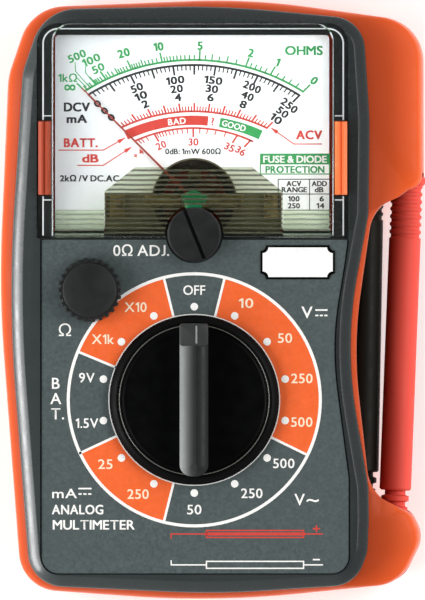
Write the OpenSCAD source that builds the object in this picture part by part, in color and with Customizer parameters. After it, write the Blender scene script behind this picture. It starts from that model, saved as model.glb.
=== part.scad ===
// Pocket analog multimeter with two stored test probes.
// The meter lies on its back: +X right, +Y towards the scale, +Z out of the face.

/* [Case] */
// Height of the back face above the resting plane, which is how far the feet stand out
foot_h = 0.6; // [0.4:0.1:1]
// Top of the orange rear case, where the front case starts
rim_z = 21.8; // [21:0.1:23]
// Top of the dark front case
bezel_z = 28.7; // [28.4:0.1:29.2]
// Wall thickness of both case shells
wall = 2.2; // [2:0.1:2.6]
// Thickness of the panel that carries the dial print
panel_t = 1.8; // [1.6:0.1:2]
// Flange width left beside the cavity by the front case
cavity_inset = 2.6; // [2.4:0.1:3]
// Right-hand limit of the cavity, beside the probe holder
cavity_right = 28.6; // [28:0.1:28.8]

/* [Window] */
// Top of the clear window's raised block
window_z = 32; // [31.6:0.1:32.6]
// Thickness of the clear plastic
window_t = 1.6; // [1.2:0.1:1.8]
// Pitch of the window's prismatic ribs
rib_pitch = 1.15; // [1:0.05:1.4]

/* [Meter movement] */
// Length of the pointer from its axis
pointer_l = 36.6; // [34:0.1:37]
// Angle of the resting pointer from the vertical, to the left
pointer_rest = 45; // [40:1:46]
// Radius of the core magnet
core_r = 5.2; // [5:0.1:5.3]
// Outer radius of the soft-iron ring
yoke_r = 9.4; // [9.2:0.1:9.6]
// Thickness of the scale plate
scale_t = 0.5; // [0.3:0.1:0.6]

/* [Range selector] */
// Outer radius of the selector knob
knob_r = 19.5; // [19:0.1:19.8]
// Height of the knob's grip bar above the face
grip_h = 8.7; // [7:0.1:10]
// Width of the grip bar
grip_w = 6.4; // [6:0.1:7]
// Number of switch positions
positions = 14; // [12:1:16]
// Radius of the rotor disc under the panel
rotor_r = 17; // [16.8:0.1:17.2]

/* [Adjusters] */
// Outer radius of the knurled zero-ohm knob
ohm_r = 7.4; // [7:0.1:7.6]
// Number of ribs round the zero-ohm knob
ohm_ribs = 26; // [20:1:30]
// Radius of the slotted zero-adjust disc
zero_r = 6.2; // [6:0.1:6.4]
// Offset of the pin under the zero-adjust disc
zero_throw = 1.2; // [1:0.05:1.25]

/* [Probes] */
// Radius of a probe handle
handle_r = 3.65; // [3.5:0.05:3.7]
// Radius of the finger guard
guard_r = 4.3; // [4.2:0.05:4.4]
// Length of a handle below its finger guard
handle_l = 71.5; // [70:0.5:72]
// Radius of the metal tip
tip_r = 1; // [0.9:0.05:1.1]
// Length of bare metal in front of the handle
tip_l = 14; // [12:0.5:15]
// Radius of the hole for the test lead in its grommet
lead_r = 1.4; // [1.2:0.05:1.5]

/* [Battery] */
// Radius of the AA cell
cell_r = 7.25; // [7.1:0.05:7.25]
// Length of the AA cell, without its terminal
cell_l = 49.2; // [49:0.1:49.5]

/* [Hidden] */
$fn = 64;

// Outlines run clockwise seen from the front: [x, y, fillet radius] at each corner.
// Both outlines have matching corners, so one can be blended into the other.
case_outline = [
    [-47.3, 51.5, 16], [-41.9, 67.4, 10.5], [8.5, 69.5, 158], [48.6, 63.9, 10.1],
    [48.7, 25.2, 3.9], [37, 22.2, 9.2], [32.4, -10.4, 96], [36.3, -46, 10],
    [45.8, -48.7, 3.9], [48.8, -54.6, 6.7], [43.5, -65.4, 8.7], [0.5, -69.9, 230],
    [-44.2, -66.6, 9.2], [-49.4, 1.8, 250]
];
bezel_outline = [
    [-43.9, 52.4, 13.8], [-38.9, 66.9, 10.6], [2.1, 67.7, 205], [34.7, 64.6, 7.8],
    [36.2, 41.3, 92], [35.9, 19.7, 9.2], [30.4, -10.4, 92], [35.9, -43.1, 13.8],
    [36, -51.1, 13.8], [35.7, -58, 7.8], [32.9, -65.7, 7.8], [0.5, -67.8, 205],
    [-42.1, -65.8, 8.3], [-47.2, 0, 300]
];
panel_outline = [
    [-39.7, 14.1, 0.6], [31.3, 14.1, 0.6], [30.6, 8.7, 14], [27.5, -10.4, 69],
    [31.5, -41, 11.5], [31.5, -63.2, 4.2], [-39.7, -63.2, 4.2]
];
corner_steps = 5;

// Axes of the turning parts
pivot = [-4.3, 22.8];
zero_axis = [-4.3, 15];
selector_axis = [-4.3, -23];
ohm_axis = [-28.3, 2.2];

// Heights
floor_z = foot_h + wall;
panel_z = bezel_z - 0.7;
panel_under = panel_z - panel_t;
plate_t = 0.3;
plate_z = panel_z + plate_t;
knob_z = plate_z + 0.3;
scale_z = 23.9;
needle_z = 25.1;
board_z = 19.4;
board_t = 1.6;
board_top = board_z + board_t;

// Window and the opening that it covers
window_x = [-40.4, 31];
window_y = [14.2, 63.4];
window_outline = [
    [window_x[0], window_y[1], 4.6], [window_x[1], window_y[1], 4.6],
    [window_x[1], window_y[0], 0.6], [window_x[0], window_y[0], 0.6]
];
block_x = [-37, 27.7];
flange_z = [27.6, 29.6];
ledge = 1.6;
top_ledge = 2.6;
side_ledge = 3.6;
clip_y = [24.1, 40.9];
clip_gap = 0.2;

// Battery compartment
cell_x = -31.5;
cell_y = -52;
cell_z = floor_z + 0.3 + cell_r;
bay_x = [-33.6, 22.6];
bay_y = [-61.2, -42.8];
door_x = [-32.2, 21.4];
door_y = [-65.8, -41.6];
door_t = 1.5;
tongue = 1.2;
slide_gap = 0.15;

// Probes: [x, y, z] at the finger guard and lean from the Y axis
red_guard = [44.8, 27.5, 14];
red_lean = 2.2;
black_guard = [35.9, 31.7, 11];
black_lean = 1.03;
nose_l = 6.5;
relief_l = 6.5;
lead_x = [-12.3, 3.7];
lead_z = 12;
grommet_l = 6;
grommet_y = -68.5;

// ---- Shared geometry ----

function unit(v) = v / norm(v);
function flat(p) = [p[0], p[1]];
// The interval of half-width h about c
function around(c, h) = [c - h, c + h];
// Unit normal into the outline, for an edge from a to b
function inward(a, b) = let (d = unit(flat(b) - flat(a))) [d[1], -d[0]];
// The outline moved inwards by d, with its fillets kept parallel
function inset(o, d) = [
    for (i = [0:len(o) - 1])
        let (
            n = len(o),
            m = inward(o[(i + n - 1) % n], o[i]),
            k = inward(o[i], o[(i + 1) % n]),
            p = flat(o[i]) + (m + k) * d / (1 + m * k),
            r = o[i][2] + (cross(m, k) > 0 ? d : -d)
        )
        [p[0], p[1], max(r, 0.3)]
];
// Points along the fillet at corner p, between its neighbours a and b
function fillet(a, p, b) =
    let (
        u = unit(flat(a) - flat(p)),
        v = unit(flat(b) - flat(p)),
        half = acos(u * v) / 2,
        c = flat(p) + unit(u + v) * p[2] / sin(half),
        s = flat(p) + u * p[2] / tan(half) - c,
        e = flat(p) + v * p[2] / tan(half) - c,
        start = atan2(s[1], s[0]),
        sweep = atan2(cross(s, e), s * e)
    )
    [
        for (k = [0:corner_steps])
            let (a = start + sweep * k / corner_steps)
            c + p[2] * [cos(a), sin(a)]
    ];
function rounded(o) = [
    for (i = [0:len(o) - 1])
        each fillet(o[(i + len(o) - 1) % len(o)], o[i], o[(i + 1) % len(o)])
];
// The first ring blended towards the second by t, from 0 to 1
function blended(a, b, t) = [for (i = [0:len(a) - 1]) a[i] * (1 - t) + b[i] * t];

// Closed solid through rings of equal length, stacked at the given heights
module loft(rings, heights) {
    n = len(rings[0]);
    top = (len(rings) - 1) * n;
    points = [for (k = [0:len(rings) - 1]) for (p = rings[k]) [p[0], p[1], heights[k]]];
    sides = [
        for (k = [0:len(rings) - 2])
            for (i = [0:n - 1])
                let (a = k * n + i, b = k * n + (i + 1) % n)
                each [[a, b, b + n], [a, b + n, a + n]]
    ];
    lower = [for (i = [n - 1:-1:0]) i];
    upper = [for (i = [0:n - 1]) top + i];
    polyhedron(points, concat([lower], sides, [upper]));
}

module box(x, y, z) {
    translate([x[0], y[0], z[0]])
        cube([x[1] - x[0], y[1] - y[0], z[1] - z[0]]);
}

module rod(at, r, z) {
    translate([at[0], at[1], z[0]])
        cylinder(r = r, h = z[1] - z[0]);
}

module tube(at, r, bore, z) {
    difference() {
        rod(at, r, z);
        rod(at, bore, [z[0] - 1, z[1] + 1]);
    }
}

// Places children so that local +Z runs up a probe and 0 is its finger guard
module on_probe(guard, lean) {
    translate(guard)
        rotate([0, 0, -lean])
            rotate([-90, 0, 0])
                children();
}

module cavity(z, gap = 0) {
    translate([0, 0, z[0]])
        linear_extrude(z[1] - z[0])
            intersection() {
                polygon(rounded(inset(bezel_outline, cavity_inset + gap)));
                translate([-60, -80])
                    square([60 + cavity_right - gap, 160]);
            }
}

// ---- Case ----

screw_at = [[-36.5, -60], [25.2, -62]];
foot_at = [[-31, 48], [21, 48], [-31, -29], [21, -29]];
foot_r = 4.2;
foot_sink = 1;
boss_r = 2.6;
screw_r = 1.2;

// Room for a probe: handle, finger guard on its way out, nose and tip
module probe_space(guard, lean, travel) {
    on_probe(guard, lean) {
        translate([0, 0, -110])
            cylinder(r = handle_r + 0.4, h = 110);
        translate([0, 0, -travel])
            cylinder(r = guard_r + 0.35, h = travel + 1.9);
        cylinder(r = 3, h = nose_l + 1);
        cylinder(r = tip_r + 0.4, h = nose_l + tip_l + 1.5);
    }
}

module case_shell() {
    outer = rounded(case_outline);
    inner = rounded(bezel_outline);
    under = [[4, 0], [2.4, 0.6], [1.1, 2.2], [0.3, 5.4]];
    over = [[0, 10.4], [0.03, 13.4], [0.12, 16.4], [0.3, 18.7], [0.6, 20.4], [1, 21.2]];
    loft(
        concat(
            [for (k = under) rounded(inset(case_outline, k[0]))],
            [for (k = over) blended(outer, inner, k[0])]
        ),
        [for (k = concat(under, over)) foot_h + k[1] * (rim_z - foot_h) / 21.2]
    );
}

module door_space() {
    box(door_x + [-slide_gap, slide_gap], [-80, door_y[1] + slide_gap], [0, foot_h + 0.9]);
    box(
        door_x + [-tongue - slide_gap, tongue + slide_gap],
        [-80, door_y[1] + slide_gap],
        [foot_h + 0.75, foot_h + door_t + 0.2]
    );
}

module battery_bay() {
    difference() {
        box(bay_x, bay_y, [floor_z - 0.5, 16]);
        box(bay_x + [1.2, -1.2], bay_y + [1.2, -1.2], [0, 20]);
    }
}

module rear_case() {
    color([0.9, 0.36, 0.18])
        difference() {
            union() {
                difference() {
                    case_shell();
                    cavity([floor_z, 40]);
                }
                battery_bay();
                for (p = screw_at)
                    rod(p, boss_r, [floor_z - 0.5, rim_z - 1.5]);
            }
            door_space();
            box(bay_x + [1.8, -1.8], bay_y + [1.6, -1.6], [0, 8]);
            probe_space(red_guard, red_lean, 40);
            probe_space(black_guard, black_lean, 40);
            for (p = screw_at) {
                rod(p, screw_r + 0.3, [0, 40]);
                rod(p, boss_r - 0.3, [0, 4.6]);
            }
            for (p = foot_at)
                rod(p, foot_r, [0, foot_h + foot_sink]);
            for (x = lead_x)
                translate([x, grommet_y + grommet_l, lead_z])
                    rotate([90, 0, 0]) {
                        cylinder(r = lead_r + 1.2, h = 20);
                        cylinder(r = lead_r + 2.1, h = grommet_l - 3.6);
                    }
        }
}

module rubber_feet() {
    color([0.12, 0.12, 0.12])
        for (p = foot_at)
            translate([p[0], p[1], 0])
                rotate_extrude()
                    polygon([
                        [0, 0], [foot_r - 1, 0], [foot_r - 0.4, 0.4],
                        [foot_r, foot_h], [foot_r, foot_h + foot_sink], [0, foot_h + foot_sink]
                    ]);
}

module case_screws() {
    color([0.7, 0.7, 0.72])
        for (p = screw_at)
            difference() {
                union() {
                    rod(p, boss_r - 0.45, [3, 4.6]);
                    rod(p, screw_r, [4.6, 25.5]);
                }
                translate([p[0] - 2, p[1] - 0.25, 2.9])
                    cube([4, 0.5, 0.7]);
                translate([p[0] - 0.25, p[1] - 2, 2.9])
                    cube([0.5, 4, 0.7]);
            }
}

module lead_grommet(x) {
    translate([x, grommet_y, lead_z])
        rotate([-90, 0, 0])
            difference() {
                union() {
                    cylinder(r = lead_r + 1.2, h = grommet_l);
                    translate([0, 0, 3.6])
                        cylinder(r = lead_r + 2, h = 1.6);
                }
                translate([0, 0, -1])
                    cylinder(r = lead_r, h = grommet_l + 2);
            }
}

module red_lead_grommet() {
    color([0.75, 0.2, 0.17])
        lead_grommet(lead_x[0]);
}

module black_lead_grommet() {
    color([0.08, 0.08, 0.08])
        lead_grommet(lead_x[1]);
}

post_at = [[-38, 9.5], [25.6, 9.5], [-38, -41], [25.2, -41]];
post_r = 2.1;

module front_case() {
    profile = [[0.25, rim_z], [0.15, 26], [0.4, 27], [1, 27.9], [1.8, 28.45], [2.7, bezel_z]];
    color([0.2, 0.22, 0.22])
        difference() {
            union() {
                difference() {
                    loft(
                        [for (k = profile) rounded(inset(bezel_outline, k[0]))],
                        [for (k = profile) k[1]]
                    );
                    cavity([rim_z - 1, panel_under]);
                    box(
                        window_x + [side_ledge, -side_ledge],
                        window_y + [ledge, -top_ledge],
                        [0, 40]
                    );
                    translate([0, 0, flange_z[0]])
                        linear_extrude(10)
                            polygon(rounded(inset(window_outline, -0.1)));
                }
                difference() {
                    cavity([rim_z - 1.3, rim_z + 0.5], 0.15);
                    cavity([0, 40], 1.15);
                }
                for (p = post_at)
                    rod(p, post_r, [board_top, panel_under + 0.1]);
                for (p = screw_at)
                    rod(p, boss_r, [rim_z - 1.4, panel_under + 0.1]);
                rod(zero_axis, zero_r - 0.4, [panel_under, flange_z[1] + 0.2]);
            }
            translate([0, 0, panel_z])
                linear_extrude(10)
                    difference() {
                        polygon(rounded(panel_outline));
                        translate(zero_axis)
                            circle(r = zero_r - 0.4);
                    }
            box(around(zero_axis[0], 6), [13.6, 24], [0, panel_z]);
            rod(zero_axis, 1.86, [0, 40]);
            rod(selector_axis, 6, [0, 40]);
            rod(ohm_axis, 1.57, [0, 40]);
            for (p = screw_at)
                rod(p, screw_r, [0, panel_under - 0.4]);
            for (p = post_at)
                rod(p, 0.8, [0, panel_under - 0.4]);
            for (x = clip_x)
                box(x + [-clip_gap, clip_gap], clip_y + [-clip_gap, clip_gap], [0, 40]);
        }
}

clip_x = [[-40.1, -37.3], [28, 30.8]];

// Latch that stands up from height z and hooks over the window's flange
module window_clip(x, z) {
    mid = (x[0] + x[1]) / 2;
    translate([0, clip_y[1], 0])
        rotate([90, 0, 0])
            linear_extrude(clip_y[1] - clip_y[0])
                polygon([
                    [x[0], z], [x[1], z], [x[1], 30.4], [x[1] - 0.7, 31.2],
                    [mid + 0.35, 31.2], [mid + 0.2, 30.8], [mid - 0.2, 30.8], [mid - 0.35, 31.2],
                    [x[0] + 0.7, 31.2], [x[0], 30.4]
                ]);
}

module window_clip_left() {
    color([0.75, 0.28, 0.18])
        window_clip(clip_x[0], floor_z);
}

module window_clip_right() {
    color([0.9, 0.36, 0.18])
        window_clip(clip_x[1], rim_z);
}

module face_plate() {
    color([0.33, 0.38, 0.38])
        translate([0, 0, panel_z])
            linear_extrude(plate_t)
                difference() {
                    polygon(rounded(inset(panel_outline, 0.35)));
                    translate(zero_axis)
                        circle(r = zero_r + 0.4);
                    translate(selector_axis)
                        circle(r = 6.6);
                    translate(ohm_axis)
                        circle(r = 2.2);
                }
}

module name_plate() {
    outline = [[10.9, 12.5, 1.4], [28, 12.5, 1.4], [28, 4.7, 1.4], [10.9, 4.7, 1.4]];
    color([0.95, 0.95, 0.95])
        translate([0, 0, plate_z])
            linear_extrude(0.3)
                polygon(rounded(outline));
}

// Outline of the ribbed zone along the window's foot and in front of the movement
rib_x = block_x + [window_t, -window_t];
ribbed = [
    [rib_x[0], 14.4], [rib_x[0], 20.4], [-24.8, 20.4], [-24.8, 24.5], [-17.5, 30.3],
    [8.5, 30.3], [15.7, 24.5], [15.7, 20.4], [rib_x[1], 20.4], [rib_x[1], 14.4]
];
rib_d = 0.12;

module window_cover() {
    under = window_z - window_t;
    color([0.85, 0.9, 0.95, 0.35])
        difference() {
            intersection() {
                union() {
                    box(window_x, window_y, flange_z);
                    translate([0, window_y[1], 0])
                        rotate([90, 0, 0])
                            linear_extrude(window_y[1] - window_y[0])
                                polygon([
                                    [block_x[0], flange_z[0]], [block_x[0], window_z - 0.8],
                                    [block_x[0] + 0.8, window_z], [block_x[1] - 0.8, window_z],
                                    [block_x[1], window_z - 0.8], [block_x[1], flange_z[0]]
                                ]);
                }
                translate([0, 0, flange_z[0]])
                    linear_extrude(10)
                        polygon(rounded(window_outline));
            }
            box(
                block_x + [window_t, -window_t],
                window_y + [window_t, -window_t],
                [0, under]
            );
            rod(zero_axis, zero_r + 0.5, [0, 40]);
            for (x = clip_x)
                box(x + [-clip_gap, clip_gap], clip_y + [-clip_gap, clip_gap], [0, 40]);
            intersection() {
                linear_extrude(40)
                    polygon(ribbed);
                for (y = [16.4:rib_pitch:30])
                    translate([rib_x[0] - 1, y, under])
                        rotate([0, 90, 0])
                            linear_extrude(rib_x[1] - rib_x[0] + 2)
                                polygon([[0.1, 0.45], [0.1, -0.45], [0, -0.45], [-rib_d, 0], [0, 0.45]]);
            }
        }
}

// ---- Scale and movement ----

module scale_plate() {
    outline = [[-36.3, 60.9, 1], [26.7, 60.9, 1], [26.7, 16.3, 0.5], [-36.3, 16.3, 0.5]];
    color([0.93, 0.94, 0.95])
        translate([0, 0, scale_z])
            linear_extrude(scale_t)
                difference() {
                    polygon(rounded(outline));
                    translate(pivot)
                        circle(r = yoke_r + 0.4);
                    translate([-24.8, 10])
                        square([40.5, 14.6]);
                }
}

yoke_z = [9.6, 23.4];
coil_z = [8.2, 24.9];
base_x = [-24.6, 15.6];
yoke_bore = 7.4;

module movement_base() {
    color([0.42, 0.37, 0.24])
        difference() {
            union() {
                box(base_x, [14.7, 26], yoke_z);
                rod(pivot, yoke_r + 2, yoke_z);
                for (x = base_x)
                    rod([x * 0.93 - 0.1, 19], 3, [floor_z, yoke_z[0]]);
            }
            rod(pivot, yoke_r + 0.02, [0, 40]);
            box([-60, 60], [0, 14.7], [0, 40]);
        }
}

module movement_yoke() {
    color([0.36, 0.36, 0.36])
        tube(pivot, yoke_r, yoke_bore, yoke_z);
}

module core_magnet() {
    color([0.3, 0.3, 0.32])
        rod(pivot, core_r, yoke_z);
}

module core_clamps() {
    color([0.72, 0.6, 0.32])
        difference() {
            intersection() {
                box(around(pivot[0], 1.5), around(pivot[1], yoke_bore), [13, 20]);
                rod(pivot, yoke_bore - 0.02, [13, 20]);
            }
            rod(pivot, core_r + 0.02, [0, 40]);
        }
}

// Turns children with the pointer, which is modelled pointing along +Y
module at_rest_angle() {
    translate([pivot[0], pivot[1], 0])
        rotate([0, 0, pointer_rest])
            children();
}

module moving_coil() {
    color([0.72, 0.4, 0.2])
        at_rest_angle()
            difference() {
                box([-6.9, 6.9], [-2, 2], coil_z);
                box([-5.7, 5.7], [-3, 3], coil_z + [1, -1]);
            }
}

module spindles() {
    color([0.75, 0.75, 0.78]) {
        rod(pivot, 0.35, [coil_z[1], 28.2]);
        rod(pivot, 0.35, [6.4, coil_z[0]]);
    }
}

module pointer() {
    color([0.7, 0.2, 0.15])
        at_rest_angle()
            difference() {
                union() {
                    rod([0, 0], 1.6, [needle_z - 0.1, needle_z + 0.4]);
                    translate([0, 0, needle_z])
                        linear_extrude(0.25)
                            polygon([
                                [-0.45, -5], [-0.3, 1], [-0.14, pointer_l],
                                [0.14, pointer_l], [0.3, 1], [0.45, -5]
                            ]);
                    rod([0, -5], 0.8, [needle_z - 0.1, needle_z + 0.5]);
                }
                rod([0, 0], 0.36, [0, 40]);
            }
}

// A flat spiral of wire, three turns out from the spindle
module hairspring(z) {
    turns = 3;
    steps = 60;
    spiral = function (k, side)
        let (a = k * 360 * turns / steps, r = 0.55 + 2.4 * k / steps + side * 0.09)
        r * [cos(a), sin(a)];
    translate([pivot[0], pivot[1], z])
        linear_extrude(0.3)
            polygon([
                for (k = [0:steps]) spiral(k, 1),
                for (k = [steps:-1:0]) spiral(k, -1)
            ]);
}

module upper_hairspring() {
    color([0.8, 0.65, 0.35])
        hairspring(25.9);
}

module lower_hairspring() {
    color([0.8, 0.65, 0.35])
        hairspring(7.6);
}

bridge_x = around(pivot[0], 11.3);

// Bar across the pivot on two legs that stand on the movement base
module bridge(bar_z, leg_z) {
    difference() {
        union() {
            box(bridge_x, around(pivot[1], 1.5), bar_z);
            for (x = [[bridge_x[0], bridge_x[0] + 1.6], [bridge_x[1] - 1.6, bridge_x[1]]])
                box(x, around(pivot[1], 1.5), leg_z);
        }
        rod(pivot, 1.12, [0, 40]);
    }
}

module upper_bridge() {
    color([0.75, 0.66, 0.4])
        bridge([27.4, 28.4], [yoke_z[1], 28.4]);
}

module lower_bridge() {
    color([0.75, 0.66, 0.4])
        bridge([5.6, 6.6], [5.6, yoke_z[0]]);
}

module jewel_screws() {
    color([0.8, 0.68, 0.38])
        difference() {
            union() {
                rod(pivot, 1.1, [26.5, 28.9]);
                rod(pivot, 1.1, [5, 7.3]);
            }
            rod(pivot, 0.42, [26, 28.3]);
            rod(pivot, 0.42, [6.3, 8]);
            translate([pivot[0] - 2, pivot[1] - 0.2, 28.5])
                cube([4, 0.4, 1]);
        }
}

module zero_lever() {
    slot_y = zero_axis[1] + zero_throw;
    color([0.78, 0.68, 0.4])
        translate([0, 0, 26.7])
            linear_extrude(0.5)
                difference() {
                    union() {
                        translate(pivot)
                            circle(r = 2.4);
                        translate([pivot[0] - 1.5, slot_y - 1.1])
                            square([3, pivot[1] - slot_y]);
                    }
                    translate(pivot)
                        circle(r = 1.17);
                    translate([pivot[0] - 0.64, slot_y - 2])
                        square([1.28, 3.4]);
                }
}

module movement_terminals() {
    color([0.85, 0.78, 0.5])
        for (x = [-22, 13.4])
            difference() {
                union() {
                    box(around(x, 1.7), [18.6, 24.4], [yoke_z[1], 24.3]);
                    rod([x, 19.8], 1.1, [24.3, 25.2]);
                    rod([x, 23], 0.9, [24.3, 25]);
                }
                rod([x, 23], 0.45, [24, 26]);
            }
}

module zero_adjust_screw() {
    z = flange_z[1] + 0.5;
    color([0.1, 0.1, 0.1])
        difference() {
            union() {
                translate([zero_axis[0], zero_axis[1], z])
                    rotate_extrude()
                        polygon([
                            [0, 0], [zero_r, 0], [zero_r, 1.9],
                            [zero_r - 0.4, 2.3], [0, 2.3]
                        ]);
                rod(zero_axis, 1.8, [27.7, z]);
                rod(zero_axis + [0, zero_throw], 0.5, [26.4, 27.7]);
            }
            translate([zero_axis[0], zero_axis[1], z + 1.2])
                rotate([0, 0, 22])
                    translate([-0.45, -10, 0])
                        cube([0.9, 20, 2]);
        }
}

// ---- Range selector ----

hub_r = 5.95;

module selector_knob() {
    top = knob_z + grip_h;
    dish = knob_z + 1.5;
    color([0.07, 0.07, 0.07])
        difference() {
            union() {
                translate([selector_axis[0], selector_axis[1], 0])
                    rotate_extrude($fn = 96)
                        polygon([
                            [0, knob_z], [knob_r, knob_z], [knob_r, knob_z + 1.2],
                            [knob_r - 0.6, knob_z + 1.9], [18, knob_z + 2.5],
                            [17.2, knob_z + 2.5], [16.4, dish], [0, dish]
                        ]);
                translate([selector_axis[0], selector_axis[1], dish - 0.1]) {
                    linear_extrude(top - dish - 0.5)
                        grip_outline(0);
                    linear_extrude(top - dish + 0.1)
                        grip_outline(0.5);
                }
                rod(selector_axis, hub_r, [panel_under - 0.1, knob_z]);
                rod(selector_axis, 4, [22.6, panel_under]);
            }
            rod(selector_axis, 1.2, [0, 30]);
        }
}

module grip_outline(gap) {
    half = 17.7 - grip_w / 2;
    r = grip_w / 2 - gap;
    for (y = [-half, half])
        translate([0, y])
            circle(r = r);
    translate([-r, -half])
        square([2 * r, 2 * half]);
}

rotor_z = [22.5, 25.9];
ball_r = 1.5;
ball_at = 16.95;
ball_z = 24.2;
ball_angles = [0, 180];

module selector_rotor() {
    color([0.9, 0.88, 0.82])
        difference() {
            rod(selector_axis, rotor_r, rotor_z);
            rod(selector_axis, 4.01, [0, 40]);
            for (a = ball_angles)
                translate([selector_axis[0], selector_axis[1], ball_z])
                    rotate([0, 90, a])
                        translate([0, 0, 8])
                            cylinder(r = ball_r + 0.08, h = 12);
        }
}

module rotor_wipers() {
    color([0.8, 0.6, 0.35])
        for (a = [90, 210, 330])
            translate([selector_axis[0], selector_axis[1], 0])
                rotate([0, 0, a])
                    translate([0, 1.2, 0])
                        rotate([90, 0, 0])
                            linear_extrude(2.4)
                                polygon([
                                    [5, 22.5], [5, 22.2], [8, 22.2], [14, 21.2], [15, 21.5],
                                    [14.8, 21.75], [14, 21.5], [8.2, 22.5]
                                ]);
}

module rotor_screw() {
    color([0.7, 0.7, 0.72])
        difference() {
            union() {
                rod(selector_axis, 1.2, [22.4, 30]);
                rod(selector_axis, 4.6, [21.5, 22.45]);
            }
            translate([selector_axis[0] - 2, selector_axis[1] - 0.25, 21])
                cube([4, 0.5, 0.9]);
        }
}

module detent_balls() {
    color([0.8, 0.8, 0.82])
        for (a = ball_angles)
            translate([selector_axis[0], selector_axis[1], ball_z])
                rotate([0, 0, a])
                    translate([ball_at, 0, 0])
                        sphere(r = ball_r);
}

module detent_springs() {
    wire = 0.2;
    coil_r = 1.15;
    turns = 9;
    color([0.72, 0.72, 0.75])
        for (a = ball_angles, k = [0:turns - 1])
            translate([selector_axis[0], selector_axis[1], ball_z])
                rotate([0, 90, a])
                    translate([0, 0, 8.3 + k * 0.84])
                        rotate_extrude($fn = 24)
                            translate([coil_r, 0])
                                circle(r = wire, $fn = 16);
}

module detent_ring() {
    color([0.85, 0.83, 0.76])
        difference() {
            tube(selector_axis, 20.7, 18.75, [23, panel_under]);
            for (k = [0:positions - 1])
                translate([selector_axis[0], selector_axis[1], 22])
                    rotate([0, 0, k * 360 / positions])
                        translate([17.9, 0, 0])
                            cylinder(r = 1.7, h = 10);
        }
}

// ---- Zero-ohm adjuster ----

module ohm_adjust_knob() {
    step = 360 / ohm_ribs;
    tooth = [[-0.3, 0.75], [-0.2, 0], [0.2, 0], [0.3, 0.75]];
    top = knob_z + 4.6;
    color([0.1, 0.1, 0.1])
        difference() {
            union() {
                translate([ohm_axis[0], ohm_axis[1], knob_z])
                    linear_extrude(3.6)
                        polygon([
                            for (k = [ohm_ribs:-1:1])
                                for (t = tooth)
                                    (ohm_r - t[1])
                                        * [cos((k - t[0]) * step), sin((k - t[0]) * step)]
                        ]);
                translate([ohm_axis[0], ohm_axis[1], knob_z])
                    rotate_extrude()
                        polygon([
                            [0, 0], [ohm_r - 0.8, 0], [ohm_r - 0.8, 3.8],
                            [6.2, 4.2], [5.8, top - knob_z], [0, top - knob_z]
                        ]);
            }
            rod(ohm_axis, 1.51, [0, top - 1.5]);
        }
}

module potentiometer_shaft() {
    color([0.75, 0.75, 0.75])
        rod(ohm_axis, 1.5, [22, knob_z + 3]);
}

module potentiometer_body() {
    color([0.25, 0.3, 0.4])
        difference() {
            union() {
                rod(ohm_axis, 7, [board_top, 24.4]);
                rod(ohm_axis, 2.6, [24.4, 26]);
            }
            rod(ohm_axis, 1.56, [21.8, 40]);
        }
}

// ---- Electronics ----

module circuit_board() {
    outline = [
        [-41, 11.5, 1], [27.2, 11.5, 1], [26.6, -10, 30], [27.2, -42.3, 1], [-40.6, -42.3, 1]
    ];
    color([0.25, 0.45, 0.25])
        translate([0, 0, board_z])
            linear_extrude(board_t)
                difference() {
                    polygon(rounded(outline));
                    for (p = post_at)
                        translate(p)
                            circle(r = 1.1);
                    translate(selector_axis)
                        circle(r = 3);
                }
}

module switch_contacts() {
    color([0.85, 0.6, 0.3])
        translate([selector_axis[0], selector_axis[1], board_top])
            for (ring = [[12.9, 15.1], [9.4, 11.4]], k = [0:positions - 1])
                rotate([0, 0, (k + 0.1) * 360 / positions])
                    rotate_extrude(angle = 0.8 * 360 / positions)
                        translate([ring[0], 0])
                            square([ring[1] - ring[0], 0.1]);
}

// Axial part lying along X under the board
module axial(at, r, l) {
    translate([at[0] - l / 2, at[1], board_z - r - 0.3])
        rotate([0, 90, 0])
            cylinder(r = r, h = l);
    for (s = [-1, 1]) {
        translate([at[0] + s * (l / 2 + 1), at[1], board_z - r - 0.3])
            rotate([0, 90, 0])
                cylinder(r = 0.3, h = 2.2, center = true);
        rod([at[0] + s * (l / 2 + 1.9), at[1]], 0.3, [board_z - r - 0.5, board_z]);
    }
}

module resistors() {
    color([0.8, 0.68, 0.45])
        for (x = [-33, -21], y = [-36:6:-6])
            axial([x, y], 1.2, 6);
}

module diodes() {
    color([0.15, 0.15, 0.15])
        for (y = [-24, -18])
            axial([14, y], 1.35, 5);
}

fuse_y = 2;
fuse_x = [2, 22];
fuse_z = 15.8;

module fuse() {
    color([0.85, 0.88, 0.9])
        translate([fuse_x[0], fuse_y, fuse_z])
            rotate([0, 90, 0]) {
                cylinder(r = 2.6, h = 5);
                translate([0, 0, 5])
                    cylinder(r = 2.3, h = 10);
                translate([0, 0, 15])
                    cylinder(r = 2.6, h = 5);
            }
}

module fuse_clips() {
    color([0.75, 0.75, 0.72])
        for (x = [3, 17.5])
            difference() {
                box([x, x + 3.5], around(fuse_y, 3.2), [14.2, board_z]);
                translate([x - 1, fuse_y, fuse_z])
                    rotate([0, 90, 0])
                        cylinder(r = 2.61, h = 6);
                box([x - 1, x + 5], around(fuse_y, 1.8), [10, 15]);
            }
}

module board_screws() {
    color([0.7, 0.7, 0.72])
        for (p = post_at) {
            rod(p, 0.8, [board_z, 24.5]);
            rod(p, 1.8, [board_z - 0.9, board_z]);
        }
}

// ---- Battery ----

module along_cell(x) {
    translate([x, cell_y, cell_z])
        rotate([0, 90, 0])
            children();
}

module battery() {
    color([0.3, 0.5, 0.3])
        along_cell(cell_x) {
            cylinder(r = 2.75, h = 2);
            translate([0, 0, 1])
                cylinder(r = cell_r, h = cell_l);
        }
}

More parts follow.
